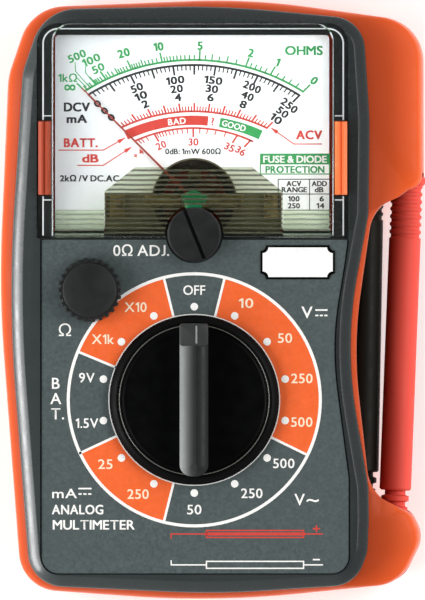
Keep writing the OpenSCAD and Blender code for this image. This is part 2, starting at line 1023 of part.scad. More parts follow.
module battery_spring() {
    end = cell_x + 1 + cell_l;
    gap = bay_x[1] - 1.2 - end;
    turns = 4;
    wire = 0.3;
    color([0.78, 0.78, 0.78])
        for (k = [0:turns - 1])
            along_cell(end + wire + k * (gap - 2 * wire) / (turns - 1))
                rotate_extrude($fn = 32)
                    translate([3 + 0.6 * k, 0])
                        circle(r = wire, $fn = 16);
}

module battery_contact() {
    color([0.78, 0.78, 0.78])
        box([bay_x[0] + 1.2, cell_x], around(cell_y, 5), [cell_z - 5, 17.5]);
}

module battery_door() {
    mid = foot_h + 0.85;
    top = foot_h + door_t;
    side = function (z, end) [[door_y[1], z[0]], [door_y[1], z[1]], [end[1], z[1]], [end[0], z[0]]];
    color([0.86, 0.34, 0.17])
        difference() {
            union() {
                translate([door_x[0], 0, 0])
                    rotate([90, 0, 90])
                        linear_extrude(door_x[1] - door_x[0])
                            polygon(side([foot_h, mid], [door_y[0] + 1.8, door_y[0] + 0.7]));
                translate([door_x[0] - tongue, 0, 0])
                    rotate([90, 0, 90])
                        linear_extrude(door_x[1] - door_x[0] + 2 * tongue)
                            polygon(side([mid, top], [door_y[0] + 0.7, door_y[0]]));
            }
            for (k = [0:4])
                box([-12, 3], around(-61.6 + 1.6 * k, 0.35), [0, foot_h + 0.35]);
        }
}

// ---- Probes ----

module probe_handle(guard, lean) {
    ribs = 7;
    pitch = 1.75;
    on_probe(guard, lean)
        difference() {
            rotate_extrude()
                polygon(concat(
                    [
                        [0, nose_l], [1.7, nose_l], [2.6, 1.2], [guard_r - 0.3, 0.9],
                        [guard_r, 0.5], [guard_r, -0.5], [guard_r - 0.3, -0.9], [handle_r, -1.2]
                    ],
                    [
                        for (k = [0:ribs - 1])
                            each [
                                [handle_r, -1.6 - k * pitch], [handle_r - 0.35, -2 - k * pitch],
                                [handle_r - 0.35, -2.5 - k * pitch], [handle_r, -2.9 - k * pitch]
                            ]
                    ],
                    [[handle_r, -handle_l + 0.4], [handle_r - 0.4, -handle_l], [0, -handle_l]]
                ));
            translate([0, 0, nose_l - 5])
                cylinder(r = tip_r, h = 10);
            translate([0, 0, -handle_l - 1])
                cylinder(r = 2.2, h = 5);
        }
}

module probe_tip(guard, lean) {
    on_probe(guard, lean)
        translate([0, 0, nose_l - 5])
            rotate_extrude()
                polygon([
                    [0, 0], [tip_r, 0], [tip_r, tip_l + 2.5],
                    [0.15, tip_l + 5], [0, tip_l + 5]
                ]);
}

module probe_relief(guard, lean) {
    on_probe(guard, lean)
        translate([0, 0, -handle_l])
            difference() {
                rotate_extrude()
                    polygon([
                        [0, 4], [2.2, 4], [2.2, 0], [2.4, 0], [2.4, -1], [3.2, -1.3],
                        [3.2, -2.4], [2.4, -2.7], [2.4, -3.6], [3, -3.9], [2.9, -5],
                        [2.2, -5.3], [2.1, -relief_l], [0, -relief_l]
                    ]);
                translate([0, 0, -relief_l - 1])
                    cylinder(r = lead_r, h = relief_l + 4);
            }
}

module red_probe_handle() {
    color([0.75, 0.2, 0.17])
        probe_handle(red_guard, red_lean);
}

module red_probe_tip() {
    color([0.8, 0.8, 0.82])
        probe_tip(red_guard, red_lean);
}

module red_probe_relief() {
    color([0.7, 0.17, 0.15])
        probe_relief(red_guard, red_lean);
}

module black_probe_handle() {
    color([0.08, 0.08, 0.08])
        probe_handle(black_guard, black_lean);
}

module black_probe_tip() {
    color([0.8, 0.8, 0.82])
        probe_tip(black_guard, black_lean);
}

module black_probe_relief() {
    color([0.1, 0.1, 0.1])
        probe_relief(black_guard, black_lean);
}

rear_case();
front_case();
face_plate();
name_plate();
window_cover();
window_clip_left();
window_clip_right();
scale_plate();
movement_base();
movement_yoke();
core_magnet();
core_clamps();
moving_coil();
spindles();
pointer();
upper_hairspring();
lower_hairspring();
upper_bridge();
lower_bridge();
jewel_screws();
zero_lever();
movement_terminals();
zero_adjust_screw();
selector_knob();
selector_rotor();
rotor_wipers();
rotor_screw();
detent_balls();
detent_springs();
detent_ring();
ohm_adjust_knob();
potentiometer_shaft();
potentiometer_body();
circuit_board();
switch_contacts();
resistors();
diodes();
fuse();
fuse_clips();
board_screws();
battery();
battery_spring();
battery_contact();
battery_door();
case_screws();
rubber_feet();
red_lead_grommet();
black_lead_grommet();
red_probe_handle();
red_probe_tip();
red_probe_relief();
black_probe_handle();
black_probe_tip();
black_probe_relief();
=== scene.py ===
import math

import bpy
import numpy as np
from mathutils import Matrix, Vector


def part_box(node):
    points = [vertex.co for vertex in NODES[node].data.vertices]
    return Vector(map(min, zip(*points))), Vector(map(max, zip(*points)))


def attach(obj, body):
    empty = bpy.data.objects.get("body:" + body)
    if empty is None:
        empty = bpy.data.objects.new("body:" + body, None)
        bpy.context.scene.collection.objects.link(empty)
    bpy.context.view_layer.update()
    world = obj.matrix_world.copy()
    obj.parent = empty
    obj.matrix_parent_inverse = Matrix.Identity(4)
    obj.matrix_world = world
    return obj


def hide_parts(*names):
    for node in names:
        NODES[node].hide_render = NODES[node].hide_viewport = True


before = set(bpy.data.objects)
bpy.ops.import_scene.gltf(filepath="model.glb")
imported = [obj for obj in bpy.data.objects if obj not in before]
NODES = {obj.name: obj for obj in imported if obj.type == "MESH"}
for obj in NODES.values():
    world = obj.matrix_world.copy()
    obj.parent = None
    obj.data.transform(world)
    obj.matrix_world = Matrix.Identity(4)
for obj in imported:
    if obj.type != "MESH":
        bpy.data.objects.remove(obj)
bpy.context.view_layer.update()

MM = 0.001

# Design of the case, in millimetres: corners as [x, y, fillet radius], clockwise seen from the front
CASE = [
    [-47.3, 51.5, 16], [-41.9, 67.4, 10.5], [8.5, 69.5, 158], [48.6, 63.9, 10.1],
    [48.7, 25.2, 3.9], [37, 22.2, 9.2], [32.4, -10.4, 96], [36.3, -46, 10],
    [45.8, -48.7, 3.9], [48.8, -54.6, 6.7], [43.5, -65.4, 8.7], [0.5, -69.9, 230],
    [-44.2, -66.6, 9.2], [-49.4, 1.8, 250],
]
BEZEL = [
    [-43.9, 52.4, 13.8], [-38.9, 66.9, 10.6], [2.1, 67.7, 205], [34.7, 64.6, 7.8],
    [36.2, 41.3, 92], [35.9, 19.7, 9.2], [30.4, -10.4, 92], [35.9, -43.1, 13.8],
    [36, -51.1, 13.8], [35.7, -58, 7.8], [32.9, -65.7, 7.8], [0.5, -67.8, 205],
    [-42.1, -65.8, 8.3], [-47.2, 0, 300],
]
PANEL = [
    [-39.7, 14.1, 0.6], [31.3, 14.1, 0.6], [30.6, 8.7, 14], [27.5, -10.4, 69],
    [31.5, -41, 11.5], [31.5, -63.2, 4.2], [-39.7, -63.2, 4.2],
]
PIVOT = (-4.3, 22.8)
ZERO = (-4.3, 15)
SELECTOR = (-4.3, -23)
OHM = (-28.3, 2.2)
SCREWS = [(-36.5, -60), (25.2, -62)]
FEET = [(-31, 48), (21, 48), (-31, -29), (21, -29)]
LEADS = (-12.3, 3.7)
RIM_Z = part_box("rear_case")[1].z / MM
BEZEL_Z = 28.7
PANEL_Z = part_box("face_plate")[0].z / MM
PLATE_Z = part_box("face_plate")[1].z / MM
SCALE_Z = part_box("scale_plate")[1].z / MM
KNOB_Z = PLATE_Z + 0.3
FOOT = 0.6


# ---- Outlines ----

def unit(v):
    return v / np.linalg.norm(v)


def inward(a, b):
    d = unit(np.array(b[:2]) - np.array(a[:2]))
    return np.array([d[1], -d[0]])


def inset(outline, d):
    """The outline moved inwards by d, its fillets kept parallel."""
    out = []
    for i, corner in enumerate(outline):
        m = inward(outline[i - 1], corner)
        k = inward(corner, outline[(i + 1) % len(outline)])
        p = np.array(corner[:2]) + (m + k) * d / (1 + m @ k)
        turn = m[0] * k[1] - m[1] * k[0]
        out.append([p[0], p[1], max(corner[2] + (d if turn > 0 else -d), 0.3)])
    return out


def rounded(outline, steps=12):
    """Points of the outline with its corners filleted."""
    points = []
    for i, corner in enumerate(outline):
        p = np.array(corner[:2], float)
        u = unit(np.array(outline[i - 1][:2]) - p)
        v = unit(np.array(outline[(i + 1) % len(outline)][:2]) - p)
        half = math.acos(float(np.clip(u @ v, -1, 1))) / 2
        c = p + unit(u + v) * corner[2] / math.sin(half)
        s = p + u * corner[2] / math.tan(half) - c
        e = p + v * corner[2] / math.tan(half) - c
        start = math.atan2(s[1], s[0])
        sweep = math.atan2(s[0] * e[1] - s[1] * e[0], float(s @ e))
        for k in range(steps + 1):
            a = start + sweep * k / steps
            points.append(c + corner[2] * np.array([math.cos(a), math.sin(a)]))
    return np.array(points)


def smooth_profile(points, per=5):
    """A Catmull-Rom curve through the points."""
    pts = [np.array(p, float) for p in points]
    pts = [2 * pts[0] - pts[1]] + pts + [2 * pts[-1] - pts[-2]]
    out = []
    for i in range(1, len(pts) - 2):
        a, b, c, d = pts[i - 1:i + 3]
        for k in range(per):
            t = k / per
            out.append(0.5 * (2 * b + (c - a) * t + (2 * a - 5 * b + 4 * c - d) * t * t
                              + (3 * b - a - 3 * c + d) * t ** 3))
    out.append(pts[-2])
    return out


def circle(centre, r, n=96):
    turn = np.linspace(0, -2 * math.pi, n, endpoint=False)
    return np.stack([centre[0] + r * np.cos(turn), centre[1] + r * np.sin(turn)], 1)


def rectangle(x0, x1, y0, y1):
    return [(x0, y1), (x1, y1), (x1, y0), (x0, y0)]


# ---- Meshes ----

def mesh_object(name, verts, faces, angle=35):
    """A mesh in millimetres, smooth apart from edges sharper than angle."""
    mesh = bpy.data.meshes.new(name)
    mesh.from_pydata([tuple(float(c) * MM for c in v) for v in verts], [], faces)
    mesh.validate()
    finish_mesh(mesh, angle)
    obj = bpy.data.objects.new(name, mesh)
    bpy.context.scene.collection.objects.link(obj)
    return obj


def finish_mesh(mesh, angle):
    mesh.polygons.foreach_set("use_smooth", [True] * len(mesh.polygons))
    mesh.set_sharp_from_angle(angle=math.radians(angle))
    mesh.update()


def loft(name, rings, heights, angle=35):
    """A closed body through clockwise rings of equal length, from the lowest up."""
    n = len(rings[0])
    verts = [(p[0], p[1], z) for ring, z in zip(rings, heights) for p in ring]
    faces = []
    for k in range(len(rings) - 1):
        for i in range(n):
            j = (i + 1) % n
            faces.append((k * n + i, (k + 1) * n + i, (k + 1) * n + j, k * n + j))
    faces.append(tuple(range(n)))
    faces.append(tuple(reversed(range((len(rings) - 1) * n, len(rings) * n))))
    return mesh_object(name, verts, faces, angle)


def prism(name, outline, z0, z1):
    return loft(name, [outline, outline], [z0, z1])


def hole(outline, z0, z1):
    return prism("hole", outline, z0, z1)


def lathe(name, profile, centre=(0, 0), n=96, angle=35):
    """A turned body: profile is (radius, height) from the axis outwards and back to it."""
    verts, faces = [], []
    rows = []
    for r, z in profile:
        if r < 1e-6:
            rows.append([len(verts)] * n)
            verts.append((centre[0], centre[1], z))
        else:
            rows.append(list(range(len(verts), len(verts) + n)))
            verts += [(p[0], p[1], z) for p in circle(centre, r, n)]
    for a, b in zip(rows, rows[1:] + (rows[:1] if profile[0][0] > 1e-6 else [])):
        for i in range(n):
            j = (i + 1) % n
            face = [a[i], a[j], b[j], b[i]]
            face = [v for k, v in enumerate(face) if v != face[k - 1]]
            if len(face) > 2:
                faces.append(tuple(reversed(face)))
    return mesh_object(name, verts, faces, angle)


def turned(obj, direction, at):
    """Points a turned body's +Z along direction, with its origin at the given point in millimetres."""
    from mathutils import Matrix, Vector
    q = Vector(direction).to_track_quat("Z", "Y").to_matrix().to_4x4()
    obj.data.transform(Matrix.Translation(Vector(at) * MM) @ q)
    return obj


def combine(target, others, operation, angle=35):
    """Joins the other bodies to the target, or cuts them out of it, and removes them."""
    for other in others:
        m = target.modifiers.new("cut", "BOOLEAN")
        m.operation, m.object, m.solver = operation, other, "EXACT"
    bpy.context.view_layer.update()
    made = bpy.data.meshes.new_from_object(
        target.evaluated_get(bpy.context.evaluated_depsgraph_get()))
    target.modifiers.clear()
    old, target.data = target.data, made
    bpy.data.meshes.remove(old)
    for other in others:
        bpy.data.objects.remove(other)
    finish_mesh(made, angle)
    return target


def add(name, obj, body, material, replaces=()):
    obj.name = name
    obj.data.name = name
    obj.data.materials.clear()
    obj.data.materials.append(material)
    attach(obj, body)
    if replaces:
        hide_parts(*replaces)
    return obj


# ---- Materials ----

def put(node, values):
    """Sets sockets that nothing is linked to."""
    for name, value in values.items():
        node.inputs[name].default_value = value


class Shader:
    """A node material with one Principled shader, and short calls for the nodes before it."""

    def __init__(self, name, roughness=0.5, metallic=0.0, ior=1.49):
        self.material = bpy.data.materials.new(name)
        self.material.use_nodes = True
        self.tree = self.material.node_tree
        self.shader = self.tree.nodes["Principled BSDF"]
        put(self.shader, {"Roughness": roughness, "Metallic": metallic, "IOR": ior})
        self.place = self.node("ShaderNodeTexCoord").outputs["Object"]

    def node(self, kind, **values):
        n = self.tree.nodes.new(kind)
        for key, value in values.items():
            setattr(n, key, value)
        return n

    def link(self, a, b):
        self.tree.links.new(a, b)

    def noise(self, scale, detail=3.0, stretch=None):
        n = self.node("ShaderNodeTexNoise")
        put(n, {"Scale": scale, "Detail": detail})
        place = self.place
        if stretch:
            m = self.node("ShaderNodeMapping")
            put(m, {"Scale": stretch})
            self.link(place, m.inputs["Vector"])
            place = m.outputs["Vector"]
        self.link(place, n.inputs["Vector"])
        return n.outputs["Fac"]

    def ramp(self, value, stops):
        r = self.node("ShaderNodeValToRGB")
        r.color_ramp.elements.remove(r.color_ramp.elements[1])
        for i, (at, colour) in enumerate(stops):
            e = r.color_ramp.elements[0] if i == 0 else r.color_ramp.elements.new(at)
            e.position, e.color = at, (*colour, 1)
        self.link(value, r.inputs["Fac"])
        return r.outputs["Color"]

    def spread(self, value, low, high):
        """Noise, most of which lies between 0.3 and 0.7, spread from low to high."""
        return self.remap(value, 0.3, 0.7, low, high)

    def remap(self, value, start, end, low=0.0, high=1.0):
        m = self.node("ShaderNodeMapRange")
        put(m, {"From Min": start, "From Max": end, "To Min": low, "To Max": high})
        self.link(value, m.inputs["Value"])
        return m.outputs["Result"]

    def along(self, source, axis):
        """One part of a vector."""
        split = self.node("ShaderNodeSeparateXYZ")
        self.link(source, split.inputs[0])
        return split.outputs[axis]

    def bands(self, direction, scale, **more):
        """A wave texture in stripes across one direction."""
        w = self.node("ShaderNodeTexWave", wave_type="BANDS", bands_direction=direction)
        put(w, {"Scale": scale, **more})
        self.link(self.place, w.inputs["Vector"])
        return w.outputs["Fac"]

    def blend(self, factor, a, b):
        """A mix of two shaders as the material's surface."""
        m = self.node("ShaderNodeMixShader")
        for i, socket in enumerate((factor, a.outputs[0], b.outputs[0])):
            self.link(socket, m.inputs[i])
        self.link(m.outputs[0], self.tree.nodes["Material Output"].inputs["Surface"])

    def mix(self, factor, a, b):
        m = self.node("ShaderNodeMix", data_type="RGBA")
        self.link(factor, m.inputs[0])
        for value, socket in ((a, m.inputs[6]), (b, m.inputs[7])):
            if isinstance(value, tuple):
                socket.default_value = (*value, 1)
            else:
                self.link(value, socket)
        return m.outputs[2]

    def bump(self, height, distance, strength=1.0, edge=0.0):
        b = self.node("ShaderNodeBump")
        put(b, {"Strength": strength, "Distance": distance})
        self.link(height, b.inputs["Height"])
        if edge:
            e = self.node("ShaderNodeBevel", samples=4)
            put(e, {"Radius": edge})
            self.link(e.outputs["Normal"], b.inputs["Normal"])
        self.link(b.outputs["Normal"], self.shader.inputs["Normal"])

    def colour(self, socket):
        self.link(socket, self.shader.inputs["Base Color"])

    def roughness(self, socket):
        self.link(socket, self.shader.inputs["Roughness"])


def tint(colour, k):
    return tuple(min(1.0, c * k) for c in colour)


def plastic(name, colour, rough=0.4, grain=1600.0, depth=0.00002, vary=0.12, edge=0.0002, coat=0.0, shine=0.5):
    """Moulded plastic: faint flow mottling, a fine spark-eroded grain and softened edges."""
    s = Shader(name, rough)
    s.colour(s.ramp(s.noise(45.0), [(0.3, tint(colour, 1 - vary)), (0.7, tint(colour, 1 + vary))]))
    s.roughness(s.spread(s.noise(300.0), rough * 0.85, min(1.0, rough * 1.2)))
    s.bump(s.noise(grain, 2.0), depth, edge=edge)
    put(s.shader, {"Specular IOR Level": shine, "Coat Weight": coat, "Coat Roughness": 0.12})
    return s.material


def print_ink(name, colour, rough=0.5):
    """Screen-printed ink: slightly uneven cover and a dry surface."""
    s = Shader(name, rough)
    s.colour(s.ramp(s.noise(900.0), [(0.25, tint(colour, 0.93)), (0.75, tint(colour, 1.04))]))
    s.roughness(s.spread(s.noise(500.0), rough * 0.85, rough * 1.15))
    s.bump(s.noise(2600.0, 2.0), 0.000008)
    return s.material


def metal(name, colour, rough=0.3, stretch=(1, 1, 12), scratch=900.0):
    """Turned or drawn metal with fine scratches along one way and slight tarnish."""
    s = Shader(name, rough, 1.0, 2.0)
    s.colour(s.ramp(s.noise(120.0), [(0.3, tint(colour, 0.78)), (0.7, tint(colour, 1.08))]))
    s.roughness(s.spread(s.noise(scratch, 3.0, stretch), rough * 0.7, rough * 1.4))
    s.bump(s.noise(scratch * 2, 2.0, stretch), 0.000006, edge=0.0001)
    return s.material


def clear_plastic(name):
    """Clear styrene: refracts what is behind it and lets the lamps' light through."""
    s = Shader(name, 0.02, 0.0, 1.5)
    put(s.shader, {"Base Color": (0.97, 0.985, 0.985, 1), "Transmission Weight": 1.0})
    s.bump(s.noise(60.0, 1.0), 0.000004)
    clear = s.node("ShaderNodeBsdfTransparent")
    put(clear, {"Color": (0.95, 0.97, 0.97, 1)})
    s.blend(s.node("ShaderNodeLightPath").outputs["Is Shadow Ray"], s.shader, clear)
    return s.material


def lens(name, dark, pale, cover, scale):
    """Smoky ribbed plastic: partly clear, with a dark line along each rib."""
    s = Shader(name, 0.3)
    ribs = s.bands("Y", scale, Distortion=0.6, Detail=1.0)
    streak = s.noise(160.0, 2.0, (1, 0.15, 1))
    s.colour(s.mix(s.spread(streak, 0.0, 0.5), s.ramp(ribs, [(0.15, dark), (0.85, tint(dark, 2.2))]),
                   tint(dark, 0.5)))
    clear = s.node("ShaderNodeBsdfTransparent")
    put(clear, {"Color": (*pale, 1)})
    amount = s.ramp(ribs, [(0.1, (cover,) * 3), (0.5, (cover * 0.12,) * 3), (0.8, (0.0,) * 3)])
    s.blend(amount, clear, s.shader)
    return s.material


def shaded_plastic(name, dark, pale, axis, low, high, rough, shine=0.4, sheen=0.0):
    """Moulded plastic with painted light and shade: its colour goes from one painted tone to another along an axis of
    the surface normal or place.
    """
    s = Shader(name, rough)
    source = s.node("ShaderNodeNewGeometry").outputs["Normal"] if axis == "normal" else s.place
    value = s.remap(s.along(source, "X" if axis == "normal" else "Z"), low, high)
    base = s.ramp(value, [(0.0, dark), (1.0, pale)])
    s.colour(s.mix(s.spread(s.noise(60.0), 0.0, 0.12), base, tint(pale, 0.8)))
    s.roughness(s.spread(s.noise(300.0), rough * 0.85, rough * 1.2))
    s.bump(s.noise(1600.0, 2.0), 0.000012, edge=0.0003)
    put(s.shader, {"Specular IOR Level": shine, "Sheen Weight": sheen, "Sheen Roughness": 0.35})
    return s.material


def film(name, colour):
    """The panel's printed film: slate with a fine pale and dark speckle."""
    s = Shader(name, 0.42)
    base = s.ramp(s.noise(1500.0, 2.0), [(0.32, tint(colour, 0.72)), (0.5, colour), (0.7, tint(colour, 1.35))])
    s.colour(s.mix(s.noise(30.0), base, tint(colour, 0.97)))
    s.roughness(s.spread(s.noise(700.0), 0.36, 0.5))
    s.bump(s.noise(2200.0, 2.0), 0.00001)
    return s.material


def scale_paper(name):
    """White painted tin, with painted shade that darkens it towards its left side."""
    s = Shader(name, 0.45)
    value = s.remap(s.along(s.place, "X"), *(corner.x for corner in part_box("scale_plate")))
    base = s.ramp(value, [(0.0, (0.56, 0.58, 0.6)), (0.3, (0.86, 0.87, 0.88)), (0.6, (0.97, 0.97, 0.97))])
    s.colour(s.mix(s.spread(s.noise(700.0), 0.0, 0.12), base, (0.8, 0.81, 0.82)))
    s.bump(s.noise(1800.0, 2.0), 0.000005)
    # A faint glow in the tin: painted light, not a lamp.
    put(s.shader, {"Emission Color": (0.97, 0.96, 0.94, 1), "Emission Strength": 0.13})
    return s.material


def winding(name):
    """Enamelled copper wire in close turns, darker in the grooves between turns: painted shade."""
    s = Shader(name, 0.3, 1.0, 2.0)
    turns = s.bands("Z", 1400.0)
    s.colour(s.ramp(turns, [(0.0, (0.2, 0.06, 0.02)), (0.6, (0.62, 0.27, 0.12))]))
    s.bump(turns, 0.00004)
    return s.material


def board(name):
    """Glass-epoxy board: green mask over a faint weave."""
    s = Shader(name, 0.35)
    weave = s.bands("DIAGONAL", 700.0)
    s.colour(s.ramp(weave, [(0.2, (0.02, 0.10, 0.04)), (0.8, (0.035, 0.16, 0.06))]))
    s.bump(weave, 0.00001)
    return s.material


def banded(name, base, bands, scale):
    """A component's body with painted bands along X."""
    s = Shader(name, 0.4)
    s.colour(s.ramp(s.bands("X", scale), [(0.0, base), (0.72, base), (0.78, bands), (1.0, bands)]))
    s.bump(s.noise(1500.0), 0.00001, edge=0.0002)
    return s.material


def make_materials():
    dark = (0.012, 0.013, 0.013)
    return {
        # The case's orange darkens higher up, towards the bezel: painted shade by height, also on the battery door.
        "orange": shaded_plastic("case_orange", (0.97, 0.125, 0.018), (0.55, 0.068, 0.014), "place",
                                 0.0192, 0.0218, 0.42, 0.16, 0.4),
        "bezel": plastic("front_dark", (0.023, 0.0275, 0.0275), 0.27, depth=0.000003, vary=0.05, edge=0.0,
                         shine=0.25),
        # A darker black than the bezel, laid where the window's recess lies in shade: painted shade.
        "liner": plastic("ledge_painted_shade", (0.012, 0.014, 0.013), 0.5, depth=0.000005, shine=0.1),
        "film": film("panel_slate", (0.068, 0.089, 0.089)),
        "white_plate": print_ink("plate_white", (0.93, 0.93, 0.92)),
        "window": clear_plastic("window_clear"),
        "lens": lens("lens_smoky", (0.07, 0.066, 0.042), (0.77, 0.79, 0.71), 0.6, 286.0),
        "foot_lens": lens("lens_foot", (0.2, 0.23, 0.18), (0.86, 0.9, 0.8), 0.55, 273.0),
        # Light grey strips along the window's edges: painted highlights, the second one dimmer.
        "edge": plastic("painted_highlight_bright", (0.72, 0.75, 0.76), 0.2, vary=0.2),
        "painted_highlight_dim": plastic("painted_highlight_dim", (0.3, 0.32, 0.31), 0.25, vary=0.3),
        # Two copies of the clips' orange: the left one darkened with painted shade, the right one bright with painted
        # light.
        "clip_painted_shade": plastic("clip_painted_shade", (0.42, 0.055, 0.016), 0.35, vary=0.1),
        "clip": plastic("clip_orange", (0.98, 0.2, 0.05), 0.25, vary=0.03),
        "scale": scale_paper("scale_white"),
        "base": plastic("base_brown", (0.17, 0.15, 0.085), 0.5, vary=0.25),
        "iron": metal("soft_iron", (0.045, 0.038, 0.028), 0.4, (1, 1, 1)),
        "brass": metal("brass", (0.78, 0.58, 0.28), 0.3),
        "wire": winding("copper_wire"),
        "steel": metal("steel", (0.62, 0.62, 0.63), 0.25),
        "pointer": print_ink("pointer_red", (0.33, 0.035, 0.02), 0.4),
        "knob": plastic("knob_black", tint(dark, 0.1), 0.4, depth=0.000006, vary=0.1, edge=0.00025, shine=0.08),
        # Paler where the grip faces left and black where it faces right: a painted highlight from the left.
        "grip": shaded_plastic("grip_painted_light", (0.3, 0.32, 0.315), (0.014, 0.016, 0.016), "normal",
                               -0.75, 0.05, 0.4, 0.2),
        "grip_tip": plastic("grip_tip", (0.034, 0.036, 0.036), 0.4, depth=0.000008, shine=0.2),
        # The bead's grey is far lighter than the knob's black: partly painted highlight, beside the real highlights
        # that its shine catches.
        "bead": plastic("bead_highlight_grey", (0.13, 0.125, 0.11), 0.15, depth=0.000002, shine=0.9),
        "index": print_ink("index_grey", (0.25, 0.25, 0.25)),
        "knob_matt": plastic("knob_black_matt", tint(dark, 1.1), 0.42, depth=0.00003, vary=0.35, shine=0.3),
        "ivory": plastic("switch_ivory", (0.7, 0.66, 0.52), 0.45),
        "pot": plastic("pot_blue", (0.04, 0.08, 0.2), 0.4),
        "board": board("board_green"),
        "resistor": banded("resistor_tan", (0.55, 0.38, 0.17), (0.25, 0.05, 0.02), 260.0),
        "diode": plastic("diode_black", (0.02, 0.02, 0.02), 0.3),
        "tinned": metal("tinned", (0.7, 0.7, 0.66), 0.32),
        "cell": banded("cell_label", (0.03, 0.2, 0.1), (0.55, 0.55, 0.5), 18.0),
        "rubber": plastic("rubber_black", (0.018, 0.018, 0.018), 0.75, 900.0, 0.00004),
        # The probes go dark where they face left and pale where they face right: painted shade and painted light.
        "probe_red": shaded_plastic("probe_red", (0.13, 0.014, 0.007), (0.95, 0.1, 0.07), "normal",
                                    -0.9, 0.7, 0.5, 0.15),
        "probe_black": shaded_plastic("probe_black", (0.001, 0.003, 0.002), (0.022, 0.022, 0.017), "normal",
                                      -0.5, 0.9, 0.45, 0.1),
        "lacquer": plastic("lacquer_green", (0.02, 0.36, 0.16), 0.22, 700.0, 0.00015, 0.4),
        "lever": print_ink("lever_green", (0.02, 0.28, 0.1), 0.35),
        "ink_white": print_ink("print_white", (0.92, 0.91, 0.88)),
        "ink_cream": print_ink("print_cream", (0.93, 0.78, 0.58)),
        "ink_orange": print_ink("print_orange", (0.85, 0.125, 0.02)),
        "ink_green": print_ink("print_green", (0.035, 0.34, 0.09)),
        "ink_red": print_ink("print_red", (0.62, 0.05, 0.035)),
        "ink_black": print_ink("print_black", (0.015, 0.015, 0.016)),
    }


# ---- Prints ----

LETTERS = {}


def letter(c):
    """A character's flat shape, its capitals one unit high and its left edge at zero."""
    if c == "1":
        flagged = [(0.2, 0), (0.34, 0), (0.34, 1), (0.23, 1), (0.0, 0.84), (0.0, 0.7), (0.2, 0.78)]
        return np.array(flagged), [tuple(range(7))]
    if c not in LETTERS:
        curve = bpy.data.curves.new("letter", "FONT")
        curve.body, curve.size, curve.resolution_u = c, 1 / 0.685, 3
        obj = bpy.data.objects.new("letter", curve)
        bpy.context.scene.collection.objects.link(obj)
        bpy.context.view_layer.update()
        mesh = bpy.data.meshes.new_from_object(obj.evaluated_get(bpy.context.evaluated_depsgraph_get()))
        p = np.array([v.co[:2] for v in mesh.vertices])
        if c == "J":
            p[:, 1] = (p[:, 1] - p[:, 1].min()) / (p[:, 1].max() - p[:, 1].min())
        LETTERS[c] = p - np.array([p[:, 0].min(), 0]), [tuple(f.vertices) for f in mesh.polygons]
        bpy.data.objects.remove(obj)
        bpy.data.curves.remove(curve)
        bpy.data.meshes.remove(mesh)
    return LETTERS[c]


